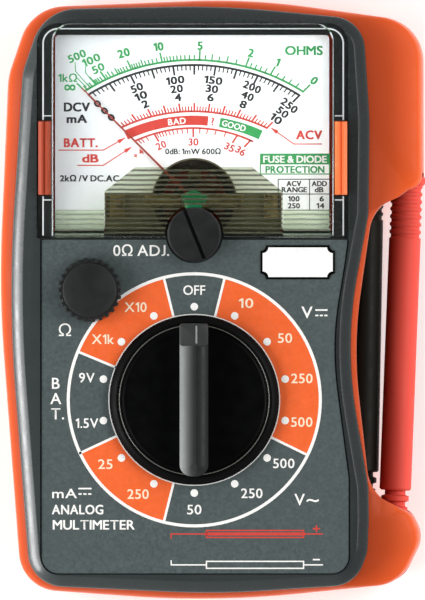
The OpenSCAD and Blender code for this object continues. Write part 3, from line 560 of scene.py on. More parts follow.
class Ink:
    """Everything printed in one colour on one surface, gathered into one thin mesh."""

    def __init__(self, z, thick=0.03):
        self.z0, self.top = z - 0.01, z + thick
        self.verts, self.faces = [], []
        self.count = 0

    def level(self):
        """The next shape's top: shapes that cross differ a little, so no two faces coincide."""
        self.count += 1
        return self.top - 0.002 * (self.count % 5)

    def area(self, points, z1=None):
        """A filled outline, anticlockwise or clockwise."""
        z1 = z1 or self.level()
        p = np.array(points, float)
        x, y = p[:, 0], p[:, 1]
        if np.sum(x * np.roll(y, -1) - np.roll(x, -1) * y) < 0:
            p = p[::-1]
        n, b = len(p), len(self.verts)
        self.verts += [(a[0], a[1], self.z0) for a in p] + [(a[0], a[1], z1) for a in p]
        self.faces.append(tuple(b + n + i for i in range(n)))
        self.faces.append(tuple(b + i for i in reversed(range(n))))
        for i in range(n):
            j = (i + 1) % n
            self.faces.append((b + i, b + j, b + n + j, b + n + i))

    def line(self, points, width):
        for a, b in zip(points, points[1:]):
            a, b = np.array(a, float), np.array(b, float)
            d = unit(b - a)
            s = np.array([-d[1], d[0]]) * width / 2
            e = d * width / 2
            self.area([a - e - s, b + e - s, b + e + s, a - e + s])

    def band(self, centre, r0, r1, a0, a1, n=48):
        """A band round centre between two radii, from angle a0 to a1 clockwise from straight up."""
        t = np.radians(np.linspace(a0, a1, n + 1))
        c = np.array(centre)
        z1 = self.level()
        for i in range(n):
            arc = [c + r * np.array([math.sin(a), math.cos(a)])
                   for r, a in ((r0, t[i]), (r0, t[i + 1]), (r1, t[i + 1]), (r1, t[i]))]
            self.area(arc, z1)

    def ring(self, centre, r0, r1, n=120):
        self.band(centre, r0, r1, 0, 360, n)

    def dot(self, centre, r):
        self.area(circle(centre, r, 32))

    def text(self, words, x, y, cap, width=None, turn=0.0, bold=0.0):
        """Lettering centred at x, y: cap is the capitals' height, turn is anticlockwise in degrees.

        Bold letters are struck four times, each moved by bold in millimetres.
        """
        pen, shapes = 0.0, []
        for c in words:
            if c == " ":
                pen += 0.3
                continue
            p, faces = letter(c)
            shapes.append((p + np.array([pen, 0]), faces))
            pen += p[:, 0].max() + 0.16
        k = cap
        kx = width / (pen - 0.16) if width else k
        c, s = math.cos(math.radians(turn)), math.sin(math.radians(turn))
        for p, faces in shapes:
            q = (p - np.array([(pen - 0.16) / 2, 0.5])) * np.array([kx, k])
            q = q @ np.array([[c, s], [-s, c]]) + np.array([x, y])
            for dx, dy in ((1, 0.6), (-1, 0.6), (-1, -0.6), (1, -0.6)) if bold else ((0, 0),):
                self.solid(q + np.array([dx, dy]) * bold, faces)

    def solid(self, p, faces):
        """Flat faces made into a thin solid."""
        n, b, z1 = len(p), len(self.verts), self.level()
        self.verts += [(a[0], a[1], self.z0) for a in p] + [(a[0], a[1], z1) for a in p]
        edges = {}
        for f in faces:
            q = p[list(f)]
            turn = np.sum(q[:, 0] * np.roll(q[:, 1], -1) - np.roll(q[:, 0], -1) * q[:, 1])
            f = f if turn > 0 else tuple(reversed(f))
            self.faces.append(tuple(b + n + i for i in f))
            self.faces.append(tuple(b + i for i in reversed(f)))
            for i, j in zip(f, f[1:] + f[:1]):
                edges[(i, j)] = True
        for i, j in edges:
            if (j, i) not in edges:
                self.faces.append((b + i, b + j, b + n + j, b + n + i))

    def done(self, name, material, slot, body="case"):
        return add(name, mesh_object(name, self.verts, self.faces, 30), body, material)


def polar(centre, angle, r):
    a = math.radians(angle)
    return (centre[0] + r * math.sin(a), centre[1] + r * math.cos(a))


# ---- Case ----

def on_probe(guard, lean, s):
    a = math.radians(lean)
    return (guard[0] + math.sin(a) * s, guard[1] + math.cos(a) * s, guard[2])


def probe_axis(lean):
    a = math.radians(lean)
    return (math.sin(a), math.cos(a), 0)


PROBES = {"red": ((44.8, 27.5, 14), 2.2), "black": ((35.9, 31.7, 11), 1.03)}


def probe_room(name):
    """The stepped space that a probe needs in the holder: handle, finger guard on its way out, nose, tip."""
    guard, lean = PROBES[name]
    steps = [(4.05, -110, -40), (4.65, -40, 1.9), (3, 1.9, 7.5), (1.4, 7.5, 22)]
    profile = [(r, s + 110) for r, s0, s1 in steps for s in (s0, s1)]
    body = lathe("room", [(0, 0)] + profile + [(0, 132)], n=72)
    return turned(body, probe_axis(lean), on_probe(guard, lean, -110))


def cavity(z0, z1, gap=0.0):
    """The hollow inside the case, which stops short of the probe holder."""
    body = prism("cavity", rounded(inset(BEZEL, 2.6 + gap), 8), z0, z1)
    keep = prism("keep", rectangle(-60, 28.6 - gap, -80, 80), z0 - 1, z1 + 1)
    return combine(body, [keep], "INTERSECT")


def make_rear_case(m):
    under = [(4, 0), (2.4, 0.6), (1.1, 2.2), (0.3, 5.4), (0, 10.4)]
    over = [(0, 10.4), (0.012, 13.4), (0.03, 16.2), (0.07, 18.2), (0.16, 19.4), (0.5, 20.4), (1, 21.2)]
    rings, heights = [], []
    for d, z in smooth_profile(under)[:-1]:
        rings.append(rounded(inset(CASE, d)))
        heights.append(FOOT + z)
    a, b = rounded(CASE), rounded(BEZEL)
    for t, z in smooth_profile(over):
        rings.append(a * (1 - t) + b * t)
        heights.append(FOOT + z)
    heights = [min(max(z, FOOT), RIM_Z) for z in heights]
    case = loft("case_rear", rings, heights, 40)
    combine(case, [cavity(2.8, 40)], "DIFFERENCE")
    bay = prism("bay", rectangle(-33.6, 22.6, -61.2, -42.8), 2.3, 16)
    combine(bay, [hole(rectangle(-32.4, 21.4, -60, -44), 0, 20)], "DIFFERENCE")
    posts = [prism("boss", circle(p, 2.6, 48), 2.3, RIM_Z - 1.5) for p in SCREWS]
    combine(case, [bay] + posts, "UNION")
    cutters = [
        prism("slot", rectangle(-32.35, 21.55, -80, -41.45), -1, FOOT + 0.9),
        prism("slot", rectangle(-33.55, 22.75, -80, -41.45), FOOT + 0.75, FOOT + 1.7),
        prism("slot", rectangle(-31.8, 20.8, -59.6, -44.4), -1, 8),
    ]
    for p in SCREWS:
        cutters += [hole(circle(p, 1.5, 32), -1, 40), hole(circle(p, 2.3, 48), -1, 4.6)]
    cutters += [hole(circle(p, 4.2, 64), -1, FOOT + 1) for p in FEET]
    for x in LEADS:
        body = lathe("hole", [(0, 0), (3.5, 0), (3.5, 2.4), (2.6, 2.4), (2.6, 20), (0, 20)], n=48)
        cutters.append(turned(body, (0, -1, 0), (x, -62.5, 12)))
    combine(case, cutters + [probe_room("red"), probe_room("black")], "DIFFERENCE", 40)
    return add("case_rear", case, "case", m["orange"], ["rear_case"])


def make_bezel(m):
    points = [(0.25, RIM_Z), (0.16, 23.5), (0.15, 25.9), (0.18, 26.4), (0.3, 26.75), (0.52, 27.02), (1.2, 27.62),
              (1.9, 28.17), (2.45, 28.52), (2.6, 28.6), (2.75, 28.67), (2.9, BEZEL_Z)]
    body = loft("front", [rounded(inset(BEZEL, d)) for d, z in points],
                [min(z, BEZEL_Z) for d, z in points], 40)
    under = PANEL_Z - 1.8
    opening = [[-40.5, 63.5, 4.7], [31.1, 63.5, 4.7], [31.1, 14.1, 0.6], [-40.5, 14.1, 0.6]]
    combine(body, [
        cavity(RIM_Z - 1, under),
        hole(rectangle(-36.8, 27.4, 15.8, 60.8), 0, 40),
        hole(rounded(opening, 10), 27.3, 40),
    ], "DIFFERENCE")
    lip = combine(cavity(RIM_Z - 1.3, RIM_Z + 0.5, 0.15), [cavity(0, 40, 1.15)], "DIFFERENCE")
    seat = prism("seat", circle(ZERO, 5.8, 72), under, 29.8)
    combine(body, [lip, seat], "UNION")
    panel = combine(prism("panel", rounded(PANEL, 14), PANEL_Z, 40),
                    [prism("ring", circle(ZERO, 5.8, 72), 0, 50)], "DIFFERENCE")
    holes = [panel, hole(rectangle(-10.3, 1.7, 13.6, 24), 0, PANEL_Z),
             hole(circle(ZERO, 1.86, 32), 0, 40), hole(circle(SELECTOR, 6, 64), 0, 40),
             hole(circle(OHM, 1.57, 32), 0, 40)]
    for x0, x1 in ((-40.3, -37.1), (27.8, 31)):
        holes.append(hole(rectangle(x0, x1, 23.9, 41.1), 0, 40))
    combine(body, holes, "DIFFERENCE", 40)
    return add("front_bezel", body, "case", m["bezel"], ["front_case"])


def make_ledge_liner(m):
    """A black sheet on the ledge that the window's flange lies on: painted shade in the window's recess."""
    outline = [[-40.45, 63.45, 4.6], [31.05, 63.45, 4.6], [31.05, 14.15, 0.6], [-40.45, 14.15, 0.6]]
    cuts = [hole(rectangle(-36.8, 27.4, 15.8, 60.8), 0, 40),
            prism("seat", circle(ZERO, 6.75, 96), 0, 40)]
    cuts += [prism("slot", rectangle(x0, x1, 23.9, 41.1), 0, 40) for x0, x1 in ((-40.3, -37.1), (27.8, 31))]
    liner = combine(prism("liner", rounded(outline, 10), 27.31, 27.57), cuts, "DIFFERENCE")
    add("window_ledge", liner, "case", m["liner"])


def make_panel(m):
    film_body = prism("film", rounded(inset(PANEL, 0.35), 14), PANEL_Z, PLATE_Z)
    combine(film_body, [hole(circle(c, r, 72), 0, 50)
                        for c, r in ((ZERO, 6.6), (SELECTOR, 6.6), (OHM, 2.2))], "DIFFERENCE")
    return add("panel_film", film_body, "case", m["film"], ["face_plate"])


def notched(x0, x1, y0, y1, r):
    """A rectangle whose corners are cut back in small hollow arcs."""
    points = []
    for (x, y), start in (((x1, y0), 180), ((x1, y1), 270), ((x0, y1), 0), ((x0, y0), 90)):
        for k in range(9):
            a = math.radians(start - k * 90 / 8)
            points.append((x + r * math.cos(a), y + r * math.sin(a)))
    return points


def make_name_plate(m):
    lo, hi = (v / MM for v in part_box("name_plate"))
    edge = prism("edge", notched(lo.x, hi.x, lo.y, hi.y, 1.3)[::-1], PLATE_Z, PLATE_Z + 0.2)
    add("name_plate_border", edge, "case", m["knob"])
    face = prism("face", notched(lo.x + 0.5, hi.x - 0.5, lo.y + 0.5, hi.y - 0.5, 1.3)[::-1],
                 PLATE_Z + 0.1, PLATE_Z + 0.3)
    add("name_plate_face", face, "case", m["white_plate"], ["name_plate"])


# ---- Panel prints ----

RANGES = [
    ("OFF", 0), ("10", 2.5), ("50", 4.3), ("250", 1.6), ("500", -1.2), ("500", -3.2), ("250", -5.9),
    ("50", 0), ("250", 5.1), ("25", 2.7), ("1.5V", 0.6), ("9V", -1.2), ("X1k", -5), ("X10", -6.6),
]


def direct_current(ink, x, y, length):
    """A solid line over a dashed one."""
    ink.area(rectangle(x, x + length, y + 0.45, y + 0.8))
    for k in range(3):
        x0 = x + k * length * 0.37
        ink.area(rectangle(x0, x0 + length * 0.25, y - 0.8, y - 0.45))


def range_prints(m):
    step = 360 / len(RANGES)
    white, orange, cream = Ink(PLATE_Z, 0.05), Ink(PLATE_Z, 0.02), Ink(PLATE_Z, 0.04)
    for a0, a1 in ((14, 116), (194, 245), (292.5, 346)):
        orange.band(SELECTOR, 19.5, 28.8, a0, a1, 60)
    white.ring(SELECTOR, 28.6, 29.3)
    white.ring(SELECTOR, 19.45, 19.75)
    for a in (14, 116, 194, 245, 292.5, 346):
        white.line([polar(SELECTOR, a, 19.6), polar(SELECTOR, a, 28.9)], 0.55)
    for k, (words, shift) in enumerate(RANGES):
        white.dot(polar(SELECTOR, k * step, 21.4), 0.87)
        x, y = polar(SELECTOR, k * step + shift, 25.2)
        width = {"OFF": 5.0, "X1k": 5.0, "X10": 5.0, "1.5V": 5.1, "9V": 3.5}.get(words, 1.62 * len(words))
        on_orange = words[0] == "X" or k in (1, 2, 3, 4, 8, 9)
        (cream if on_orange else white).text(words, x, y, 2.15, width, bold=0.035)
    cream.done("range_labels", m["ink_cream"], "print_white")
    orange.done("range_sectors", m["ink_orange"], "print_orange")
    white.done("range_marks", m["ink_white"], "print_white")


def panel_words(m):
    white = Ink(PLATE_Z)
    white.text("0Ω ADJ.", -16.5, 11.3, 2.45, 12.8, bold=0.035)
    white.text("Ω", -34.0, -7.0, 2.7, 2.8)
    for k, letter in enumerate(("B", "A", "T.")):
        white.text(letter, -36.1 + (0.4 if k == 2 else 0), -19.2 - k * 3.5, 2.5, bold=0.035)
    white.text("mA", -34.1, -44.5, 2.1, 5.6, bold=0.035)
    direct_current(white, -30.9, -44.0, 3.0)
    white.text("V", 21.6, -2.9, 2.6, 2.5, bold=0.035)
    direct_current(white, 23.5, -3.0, 2.8)
    white.text("V", 19.9, -45.9, 2.6, 2.3, bold=0.035)
    white.text("~", 22.9, -45.8, 2.9, 2.7, bold=0.05)
    white.text("ANALOG", -31.1, -48.2, 2.1, 11.7, bold=0.06)
    white.text("MULTIMETER", -27.4, -51.7, 2.1, 18.7, bold=0.06)
    probe_picture(white, -60.9, -1)
    white.done("panel_lettering", m["ink_white"], "print_white")
    red = Ink(PLATE_Z)
    probe_picture(red, -53.8, 1)
    red.done("probe_picture_red", m["ink_red"], "print_red")


def probe_picture(ink, y, way):
    """A probe in outline, its lead bent up or down at the left."""
    ink.line([(-9.6, y - 0.9 * way), (-9.6, y), (-1.5, y)], 0.3)
    ink.line([(-1.5, y - 0.8), (-1.5, y + 0.8), (20.8, y + 0.8), (20.8, y - 0.8), (-1.5, y - 0.8)], 0.3)
    ink.line([(20.8, y), (25.1, y)], 0.3)
    if way > 0:
        ink.line([(-1.5, y), (20.8, y)], 0.7)
        ink.line([(23.1, y + 1.2), (24.4, y + 1.2)], 0.35)
        ink.line([(23.75, y + 0.6), (23.75, y + 1.8)], 0.35)
    else:
        ink.line([(23.1, y + 1.2), (24.4, y + 1.2)], 0.35)


# ---- Scale ----

ARC = (-4.5, 7.87)
AC_ARC = (-4.5, 4.25)


def swing(share):
    """The pointer's angle from straight up at a share of full scale."""
    return -45 + 90 * share


def on_arc(share, centre, r):
    """Where the pointer's line crosses an arc."""
    a = math.radians(swing(share))
    d = np.array([math.sin(a), math.cos(a)])
    w = np.array(PIVOT) - np.array(centre)
    b = float(w @ d)
    return np.array(PIVOT) + d * (-b + math.sqrt(b * b - float(w @ w) + r * r)), d


def tick(ink, share, centre, r, length, width):
    p, d = on_arc(share, centre, r)
    ink.line([p, p + d * length], width)


def arc_line(ink, centre, r, width):
    """The arc from zero to full scale."""
    ends = [on_arc(s, centre, r)[0] - np.array(centre) for s in (0, 1)]
    a0, a1 = (math.degrees(math.atan2(e[0], e[1])) for e in ends)
    ink.band(centre, r - width / 2, r + width / 2, a0, a1, 80)


def ohm_share(value):
    return 5.5 / (5.5 + value)


def ohm_scale(ink):
    r = 47.25
    arc_line(ink, ARC, r, 0.48)
    long_ticks = (0, 1, 2, 5, 10, 20, 50, 100)
    fine = [k * 0.2 for k in range(10)] + [2 + k * 0.5 for k in range(16)] + [10 + k for k in range(10)]
    fine += [20 + 2 * k for k in range(5)] + [30, 35, 40, 45, 50, 60, 70, 80, 90, 100, 150, 200, 500]
    for value in fine:
        if value not in long_ticks:
            middle = value in (3, 4, 15, 30, 40) or abs(value * 2 % 2 - 1) < 0.01 and value < 2
            tick(ink, ohm_share(value), ARC, r, 1.45 if middle else 1.05, 0.32)
    for value in long_ticks:
        tick(ink, ohm_share(value), ARC, r, 2.1, 0.4)
    tick(ink, 0, ARC, r, 2.4, 0.36)
    for words, share, out, turn in (("20", ohm_share(20), 4.2, 16), ("10", ohm_share(10), 3.7, 8),
                                    ("5", ohm_share(5), 3.3, 0), ("2", ohm_share(2), 3.4, -14),
                                    ("1", ohm_share(1), 3.4, -22), ("0", 1, 3.6, -42)):
        p, d = on_arc(share, ARC, r)
        ink.text(words, *(p + d * out), 1.8, turn=turn, bold=0.11)
    for words, x, y, turn in (("500", -31.3, 56.0, 24), ("100", -28.0, 55.1, 24), ("50", -26.4, 53.2, 26)):
        ink.text(words, x, y, 1.7, 1.37 * len(words), turn, 0.08)
    ink.text("1kΩ", -33.4, 51.0, 1.75, 4.2, bold=0.05)
    ink.text("∞", -32.9, 48.9, 2.3, 2.4, bold=0.08)
    ink.text("OHMS", 20.9, 57.3, 2.0, 8.5, bold=0.1)
    for route in ([(-31.7, 54.5), (-31.6, 52.5), (-29.1, 49.7)], [(-29.3, 53.6), (-29.3, 52.2), (-27.7, 50.2)],
                  [(-31.4, 51.1), (-29.2, 49.0)]):
        ink.line(route, 0.2)


def volt_scale(ink):
    r = 46.1
    arc_line(ink, ARC, r, 0.5)
    for k in range(51):
        long_one = k % 5 == 0
        tick(ink, k / 50, ARC, r, -2.0 if long_one else -1.1, 0.44 if long_one else 0.29)
    rows = ((0.0, 29.3, 26.9, 24.7), (0.2, 29.1, 27.0, 24.9), (0.4, 28.0, 26.0, 24.0),
            (0.6, 28.0, 26.0, 24.0), (0.8, 29.3, 27.0, 24.8), (1.0, 30.9, 28.7, 26.6))
    for share, *radii in rows[1:]:
        for full, radius in zip((250, 50, 10), radii):
            words = str(round(full * share))
            x, y = polar(PIVOT, swing(share), radius)
            ink.text(words, x, y, 1.65, 1.35 * len(words), -swing(share) * 0.85, 0.1)
    for radius in (31.5, 29.2, 27.0):
        x, y = polar(PIVOT, swing(0), radius)
        ink.text("0", x, y, 1.6, 1.25, 45, 0.1)
    ink.text("DCV", -31.3, 44.3, 1.95, 5.8, bold=0.12)
    ink.text("mA", -31.3, 41.6, 1.8, 4.5, bold=0.12)
    ink.text("2kΩ /V DC.AC", -28.4, 27.9, 1.35, 13.5, bold=0.075)
    ink.text("0dB: 1mW 600Ω", -4.6, 34.1, 1.25, 12.7, bold=0.05)
    table_print(ink, 15.0, 26.8, 20.6, 27.7)


def table_print(ink, x0, x1, y0, y1):
    split, head = x0 + 7.2, y1 - 3.4
    ink.line([(x0, y0), (x0, y1), (x1, y1), (x1, y0), (x0, y0)], 0.2)
    ink.line([(split, y0), (split, y1)], 0.2)
    ink.line([(x0, head), (x1, head)], 0.2)
    for words, x, y, width in (("ACV", x0 + 3.6, y1 - 1.0, 3.3), ("RANGE", x0 + 3.7, y1 - 2.4, 5.7),
                               ("ADD", x1 - 2.35, y1 - 1.0, 3.4), ("dB", x1 - 2.4, y1 - 2.4, 1.9),
                               ("100", x0 + 3.6, y0 + 2.6, 2.5), ("6", x1 - 1.8, y0 + 2.6, 0.9),
                               ("250", x0 + 3.6, y0 + 1.0, 2.7), ("14", x1 - 2.1, y0 + 1.0, 1.7)):
        ink.text(words, x, y, 1.15, width, bold=0.06)


def leader(ink, route):
    """A thin line that ends in an arrow head."""
    ink.line(route, 0.26)
    tip, d = np.array(route[-1]), unit(np.array(route[-1]) - np.array(route[-2]))
    side = np.array([-d[1], d[0]])
    ink.area([tip + d * 0.4, tip - d * 1.6 + side * 0.5, tip - d * 1.6 - side * 0.5])


def red_scales(ink):
    r = 39.05
    arc_line(ink, AC_ARC, r, 0.45)
    for k in range(51):
        long_one = k % 5 == 0
        tick(ink, k / 50, AC_ARC, r, 1.75 if long_one else 1.05, 0.42 if long_one else 0.29)
    ink.band(AC_ARC, 35.9, 38.1, -24.8, 5.2)
    x, y = polar(AC_ARC, 6.9, 37.0)
    ink.text("?", x, y, 1.7, bold=0.06)
    r = 31.6
    arc_line(ink, ARC, r, 0.45)
    for db in [4, 10, 15] + list(range(20, 37)):
        long_one = db in (20, 30, 35, 36)
        tick(ink, 0.0155 * 10 ** (db / 20), ARC, r, -1.9 if long_one else -1.1, 0.42 if long_one else 0.26)
    for db, out in ((20, 3.1), (30, 3.2), (35, 3.3), (36, 3.3)):
        share = 0.0155 * 10 ** (db / 20)
        p, d = on_arc(share, ARC, r)
        ink.text(str(db), *(p - d * out), 1.6, 2.2, -swing(share) * 0.75, 0.06)
    ink.text("4", -16.6, 34.0, 1.3, turn=38, bold=0.05)
    ink.text("+", -17.8, 33.1, 1.3, turn=38, bold=0.05)
    ink.text("BATT.", -30.4, 36.1, 1.95, 7.6, bold=0.11)
    ink.text("dB", -28.2, 32.5, 1.8, 3.6, bold=0.11)
    ink.text("ACV", 22.1, 37.9, 1.95, 5.8, bold=0.11)
    leader(ink, [(-35.4, 34.4), (-25.2, 34.4), (-20.4, 37.1)])
    leader(ink, [(-31.1, 30.9), (-25.2, 30.9), (-18.9, 35.0)])
    leader(ink, [(24.9, 35.8), (18.6, 35.8), (13.5, 39.4)])


def green_blocks(ink, white):
    ink.band(AC_ARC, 35.9, 38.1, 9.4, 24.7)
    ink.area(rectangle(10.8, 26.9, 31.1, 33.6))
    ink.line([(10.9, 31.1), (10.9, 28.9), (26.8, 28.9), (26.8, 31.1)], 0.26)
    ink.text("PROTECTION", 18.85, 29.95, 1.5, 13.4, bold=0.08)
    white.text("FUSE & DIODE", 18.85, 32.3, 1.55, 14.5, bold=0.08)
    for words, a, width in (("BAD", -5.9, 4.0), ("GOOD", 14.6, 5.5)):
        x, y = polar(AC_ARC, a, 36.95)
        white.text(words, x, y, 1.35, width, -a, 0.05)


def make_scale(m):
    green, black, red, white = Ink(SCALE_Z), Ink(SCALE_Z), Ink(SCALE_Z), Ink(SCALE_Z, 0.06)
    ohm_scale(green)
    volt_scale(black)
    red_scales(red)
    green_blocks(green, white)
    green.done("scale_green", m["ink_green"], "print_green")
    black.done("scale_black", m["ink_black"], "print_black")
    red.done("scale_red", m["ink_red"], "print_red")
    white.done("scale_reversed", m["ink_white"], "print_white")


# ---- Knobs ----

def make_selector(m):
    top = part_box("selector_knob")[1].z / MM
    z = KNOB_Z
    profile = [(0, z), (19.3, z), (19.5, z + 0.15), (19.5, z + 1.1), (19.4, z + 1.4), (19, z + 1.8),
               (18.4, z + 2.2), (17.95, z + 2.45), (17.6, z + 2.5), (17.25, z + 2.45), (17.0, z + 2.2),
               (16.55, z + 1.65), (16.3, z + 1.5), (15.9, z + 1.45), (0, z + 1.45)]
    knob = lathe("knob", profile, SELECTOR, 144, 50)
    stem = prism("stem", circle(SELECTOR, 5.95, 64), PANEL_Z - 1.9, z + 0.2)
    core = prism("core", circle(SELECTOR, 4, 48), 22.6, PANEL_Z - 1.8)
    combine(knob, [stem, core], "UNION", 40)
    combine(knob, [hole(circle(SELECTOR, 1.2, 32), 0, z + 1)], "DIFFERENCE", 40)
    add("selector_knob_body", knob, "selector", m["knob"], ["selector_knob"])
    add("selector_grip", make_grip(z + 1.3, top), "selector", m["grip"])
    tip = [[SELECTOR[0] + x, SELECTOR[1] + y, 0.6] for x, y in ((-3.3, 17.55), (3.2, 17.55), (3.2, 12.4), (-3.3, 12.4))]
    end = loft("tip", [rounded(inset(tip, d), 6) for d in (0, 0, 0.1, 0.3)],
               [z + 1.3, top - 0.6, top - 0.25, top - 0.12])
    add("selector_grip_end", end, "selector", m["grip_tip"])
    add("selector_bead", bead(SELECTOR, 17.2, z + 2.42, 0.11), "selector", m["bead"])
    mark = Ink(top - 0.11, 0.02)
    mark.line([(SELECTOR[0] + 0.5, SELECTOR[1] + 13.2), (SELECTOR[0] + 0.5, SELECTOR[1] + 16.8)], 0.4)
    mark.done("selector_index", m["index"], "print_white", "selector")


def bead(centre, r, z, wire):
    """A fine round bead that runs round a knob."""
    turn = np.linspace(0, 2 * math.pi, 12, endpoint=False)
    return lathe("bead", [(r + wire * math.cos(t), z + wire * math.sin(t)) for t in turn], centre, 144, 80)


def make_grip(z0, top):
    """The finger bar: crowned across, square at its marked end and bowed at the other."""
    x, y = SELECTOR
    outline = [[x - 3.35, y + 17.5, 0.6], [x + 3.25, y + 17.5, 0.6],
               [x + 3.25, y - 17.5, 2.7], [x - 3.35, y - 17.5, 2.7]]
    rings, heights = [rounded(outline, 6)], [z0]
    for a in np.linspace(0.0, math.pi / 2, 14):
        d = 3.15 * (1 - math.cos(a)) * 0.96
        rings.append(rounded(inset(outline, d), 6))
        heights.append(top - 0.25 - 1.7 * (1 - math.sin(a)))
    return loft("grip", rings, heights, 60)


def make_ohm_knob(m):
    z, top = KNOB_Z, KNOB_Z + 4.6
    count = 26
    step = 2 * math.pi / count

    def ring(r, depth):
        points = []
        for k in range(count):
            for t, d in ((-0.34, 1), (-0.27, 0.85), (-0.2, 0), (0, 0), (0.2, 0), (0.27, 0.85), (0.34, 1)):
                a = -(k + t) * step
                points.append((OHM[0] + (r - d * depth) * math.cos(a), OHM[1] + (r - d * depth) * math.sin(a)))
        return points

    levels = [(7.2, 0.5, 0), (7.4, 0.55, 0.2), (7.4, 0.55, 2.9), (7.3, 0.55, 3.1), (7.1, 0.5, 3.2), (6.2, 0.1, 3.22),
              (6.15, 0, 3.3), (6.15, 0, 4.35), (6.05, 0, 4.52), (5.85, 0, 4.6)]
    knob = loft("ohm", [ring(r, d) for r, d, h in levels], [z + h for r, d, h in levels], 24)
    combine(knob, [hole(circle(OHM, 1.51, 32), 0, top - 1.5)], "DIFFERENCE", 24)
    add("ohm_adjust_wheel", knob, "ohm_adjuster", m["knob_matt"], ["ohm_adjust_knob"])


# ---- Window ----

HEX = [(-24.9, 14.7), (-24.9, 24.8), (-17.9, 30.4), (9.0, 30.4), (16.0, 24.8), (16.0, 14.7)]


def make_window(m):
    lo, hi = (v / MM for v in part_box("window_cover"))
    outline = [[lo.x, hi.y, 4.6], [hi.x, hi.y, 4.6], [hi.x, lo.y, 0.6], [lo.x, lo.y, 0.6]]
    window = prism("window", rounded(outline, 12), lo.z + 0.01, lo.z + 2)
    block = [[-37, hi.y - 0.05, 4.2], [27.7, hi.y - 0.05, 4.2], [27.7, lo.y + 0.05, 0.5], [-37, lo.y + 0.05, 0.5]]
    crown = loft("block", [rounded(inset(block, d), 12) for d in (0, 0, 0.12, 0.35)],
                 [lo.z + 1, hi.z - 0.4, hi.z - 0.12, hi.z])
    combine(window, [crown], "UNION")
    cuts = [prism("room", rectangle(-36.5, 27.2, lo.y + 0.6, hi.y - 0.6), 0, hi.z - 0.8),
            prism("seat", circle(ZERO, 6.7, 96), 0, 50)]
    cuts += [prism("slot", rectangle(x0, x1, 23.9, 41.1), 0, 50) for x0, x1 in ((-40.3, -37.1), (27.8, 31))]
    combine(window, cuts, "DIFFERENCE", 12)
    add("window_shell", window, "case", m["window"], ["window_cover"])


def cut_for_seat(obj):
    return combine(obj, [prism("seat", circle(ZERO, 6.75, 96), 0, 60)], "DIFFERENCE", 30)


def ribbed_sheet(name, outline, z, pitch, depth):
    """A sheet whose underside is moulded in rounded ribs that run from left to right."""
    x0, x1 = min(p[0] for p in outline) - 1, max(p[0] for p in outline) + 1
    y0, y1 = min(p[1] for p in outline), max(p[1] for p in outline)
    profile = [(y1 + 1, z + 0.55), (y0 - 1, z + 0.55)]
    for y in np.arange(y0 - 1, y1 + 1, pitch / 8):
        profile.append((y, z - depth * abs(math.sin(math.pi * (y - y0) / pitch))))
    verts = [(x, y, h) for x in (x0, x1) for y, h in profile]
    n = len(profile)
    faces = [tuple(range(n)), tuple(reversed(range(n, 2 * n)))]
    faces += [(i, i + n, (i + 1) % n + n, (i + 1) % n) for i in range(n)]
    sheet = mesh_object(name, verts, faces, 50)
    return combine(sheet, [prism("outline", outline, 0, 60)], "INTERSECT", 50)


def make_ribs(m):
    """The ribbed lens in front of the movement, and the fainter ribs along the window's foot."""
    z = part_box("window_cover")[1].z / MM - 1.5
    add("window_lens", cut_for_seat(ribbed_sheet("lens", HEX, z, 1.1, 0.22)), "case", m["lens"])
    for name, x0, x1 in (("foot_ribs_left", -36.3, -25.0), ("foot_ribs_right", 16.1, 27.0)):
        sheet = ribbed_sheet(name, rectangle(x0, x1, 14.7, 20.6), z, 1.15, 0.18)
        add(name, sheet, "case", m["foot_lens"])


def make_window_edges(m):
    """Thin bright strips along the window's flange and block: painted highlights for the light that the clear edges
    catch.
    """
    flange_highlights = Ink(30.0, 0.12)
    x0, x1, y0, y1 = -39.0, 29.9, 14.9, 62.2
    for x, turn in ((x0, 1), (x1, -1)):
        flange_highlights.line([(x, y0), (x, 23.6)], 0.3)
        corner = [(x + turn * (3.4 - 3.4 * math.cos(a)), y1 - 3.4 + 3.4 * math.sin(a))
                  for a in np.linspace(0, math.pi / 2, 12)]
        flange_highlights.line([(x, 41.4)] + corner, 0.34)
        flange_highlights.line([(x, 42.2), (x + turn * 1.8, 42.2)], 0.25)
        flange_highlights.line([(x, 22.9), (x + turn * 1.8, 22.9)], 0.25)
    flange_highlights.z0 = 29.55
    flange_highlights.line([(x0 + 3.4, y1), (x1 - 3.4, y1)], 0.24)
    flange_highlights.done("window_edge_light", m["edge"], "window_clear")
    # Dimmer painted highlights along the block's sides.
    block = Ink(31.4, 0.02)
    for x in (-36.75, 27.45):
        block.line([(x, 14.9), (x, 60.2)], 0.22)
    block.done("window_block_edges", m["painted_highlight_dim"], "window_clear")


# ---- Everything else ----

FINISHES = {
    "clip_painted_shade": "window_clip_left",
    "clip": "window_clip_right",
    "scale": "scale_plate",
    "base": "movement_base",
    "iron": "movement_yoke core_magnet",
    "brass": "core_clamps upper_hairspring lower_hairspring upper_bridge lower_bridge jewel_screws "
             "movement_terminals rotor_wipers switch_contacts",
    "wire": "moving_coil",
    "steel": "spindles rotor_screw detent_balls detent_springs potentiometer_shaft board_screws case_screws "
             "red_probe_tip black_probe_tip",
    "pointer": "pointer",
    "lever": "zero_lever",
    "knob_matt": "zero_adjust_screw",
    "ivory": "selector_rotor detent_ring",
    "pot": "potentiometer_body",
    "board": "circuit_board",
    "resistor": "resistors",
    "diode": "diodes",
    "window": "fuse",
    "tinned": "fuse_clips battery_spring battery_contact",
    "cell": "battery",
    "orange": "battery_door",
    "rubber": "rubber_feet",
    "probe_red": "red_lead_grommet red_probe_handle red_probe_relief",
    "probe_black": "black_lead_grommet black_probe_handle black_probe_relief",
}


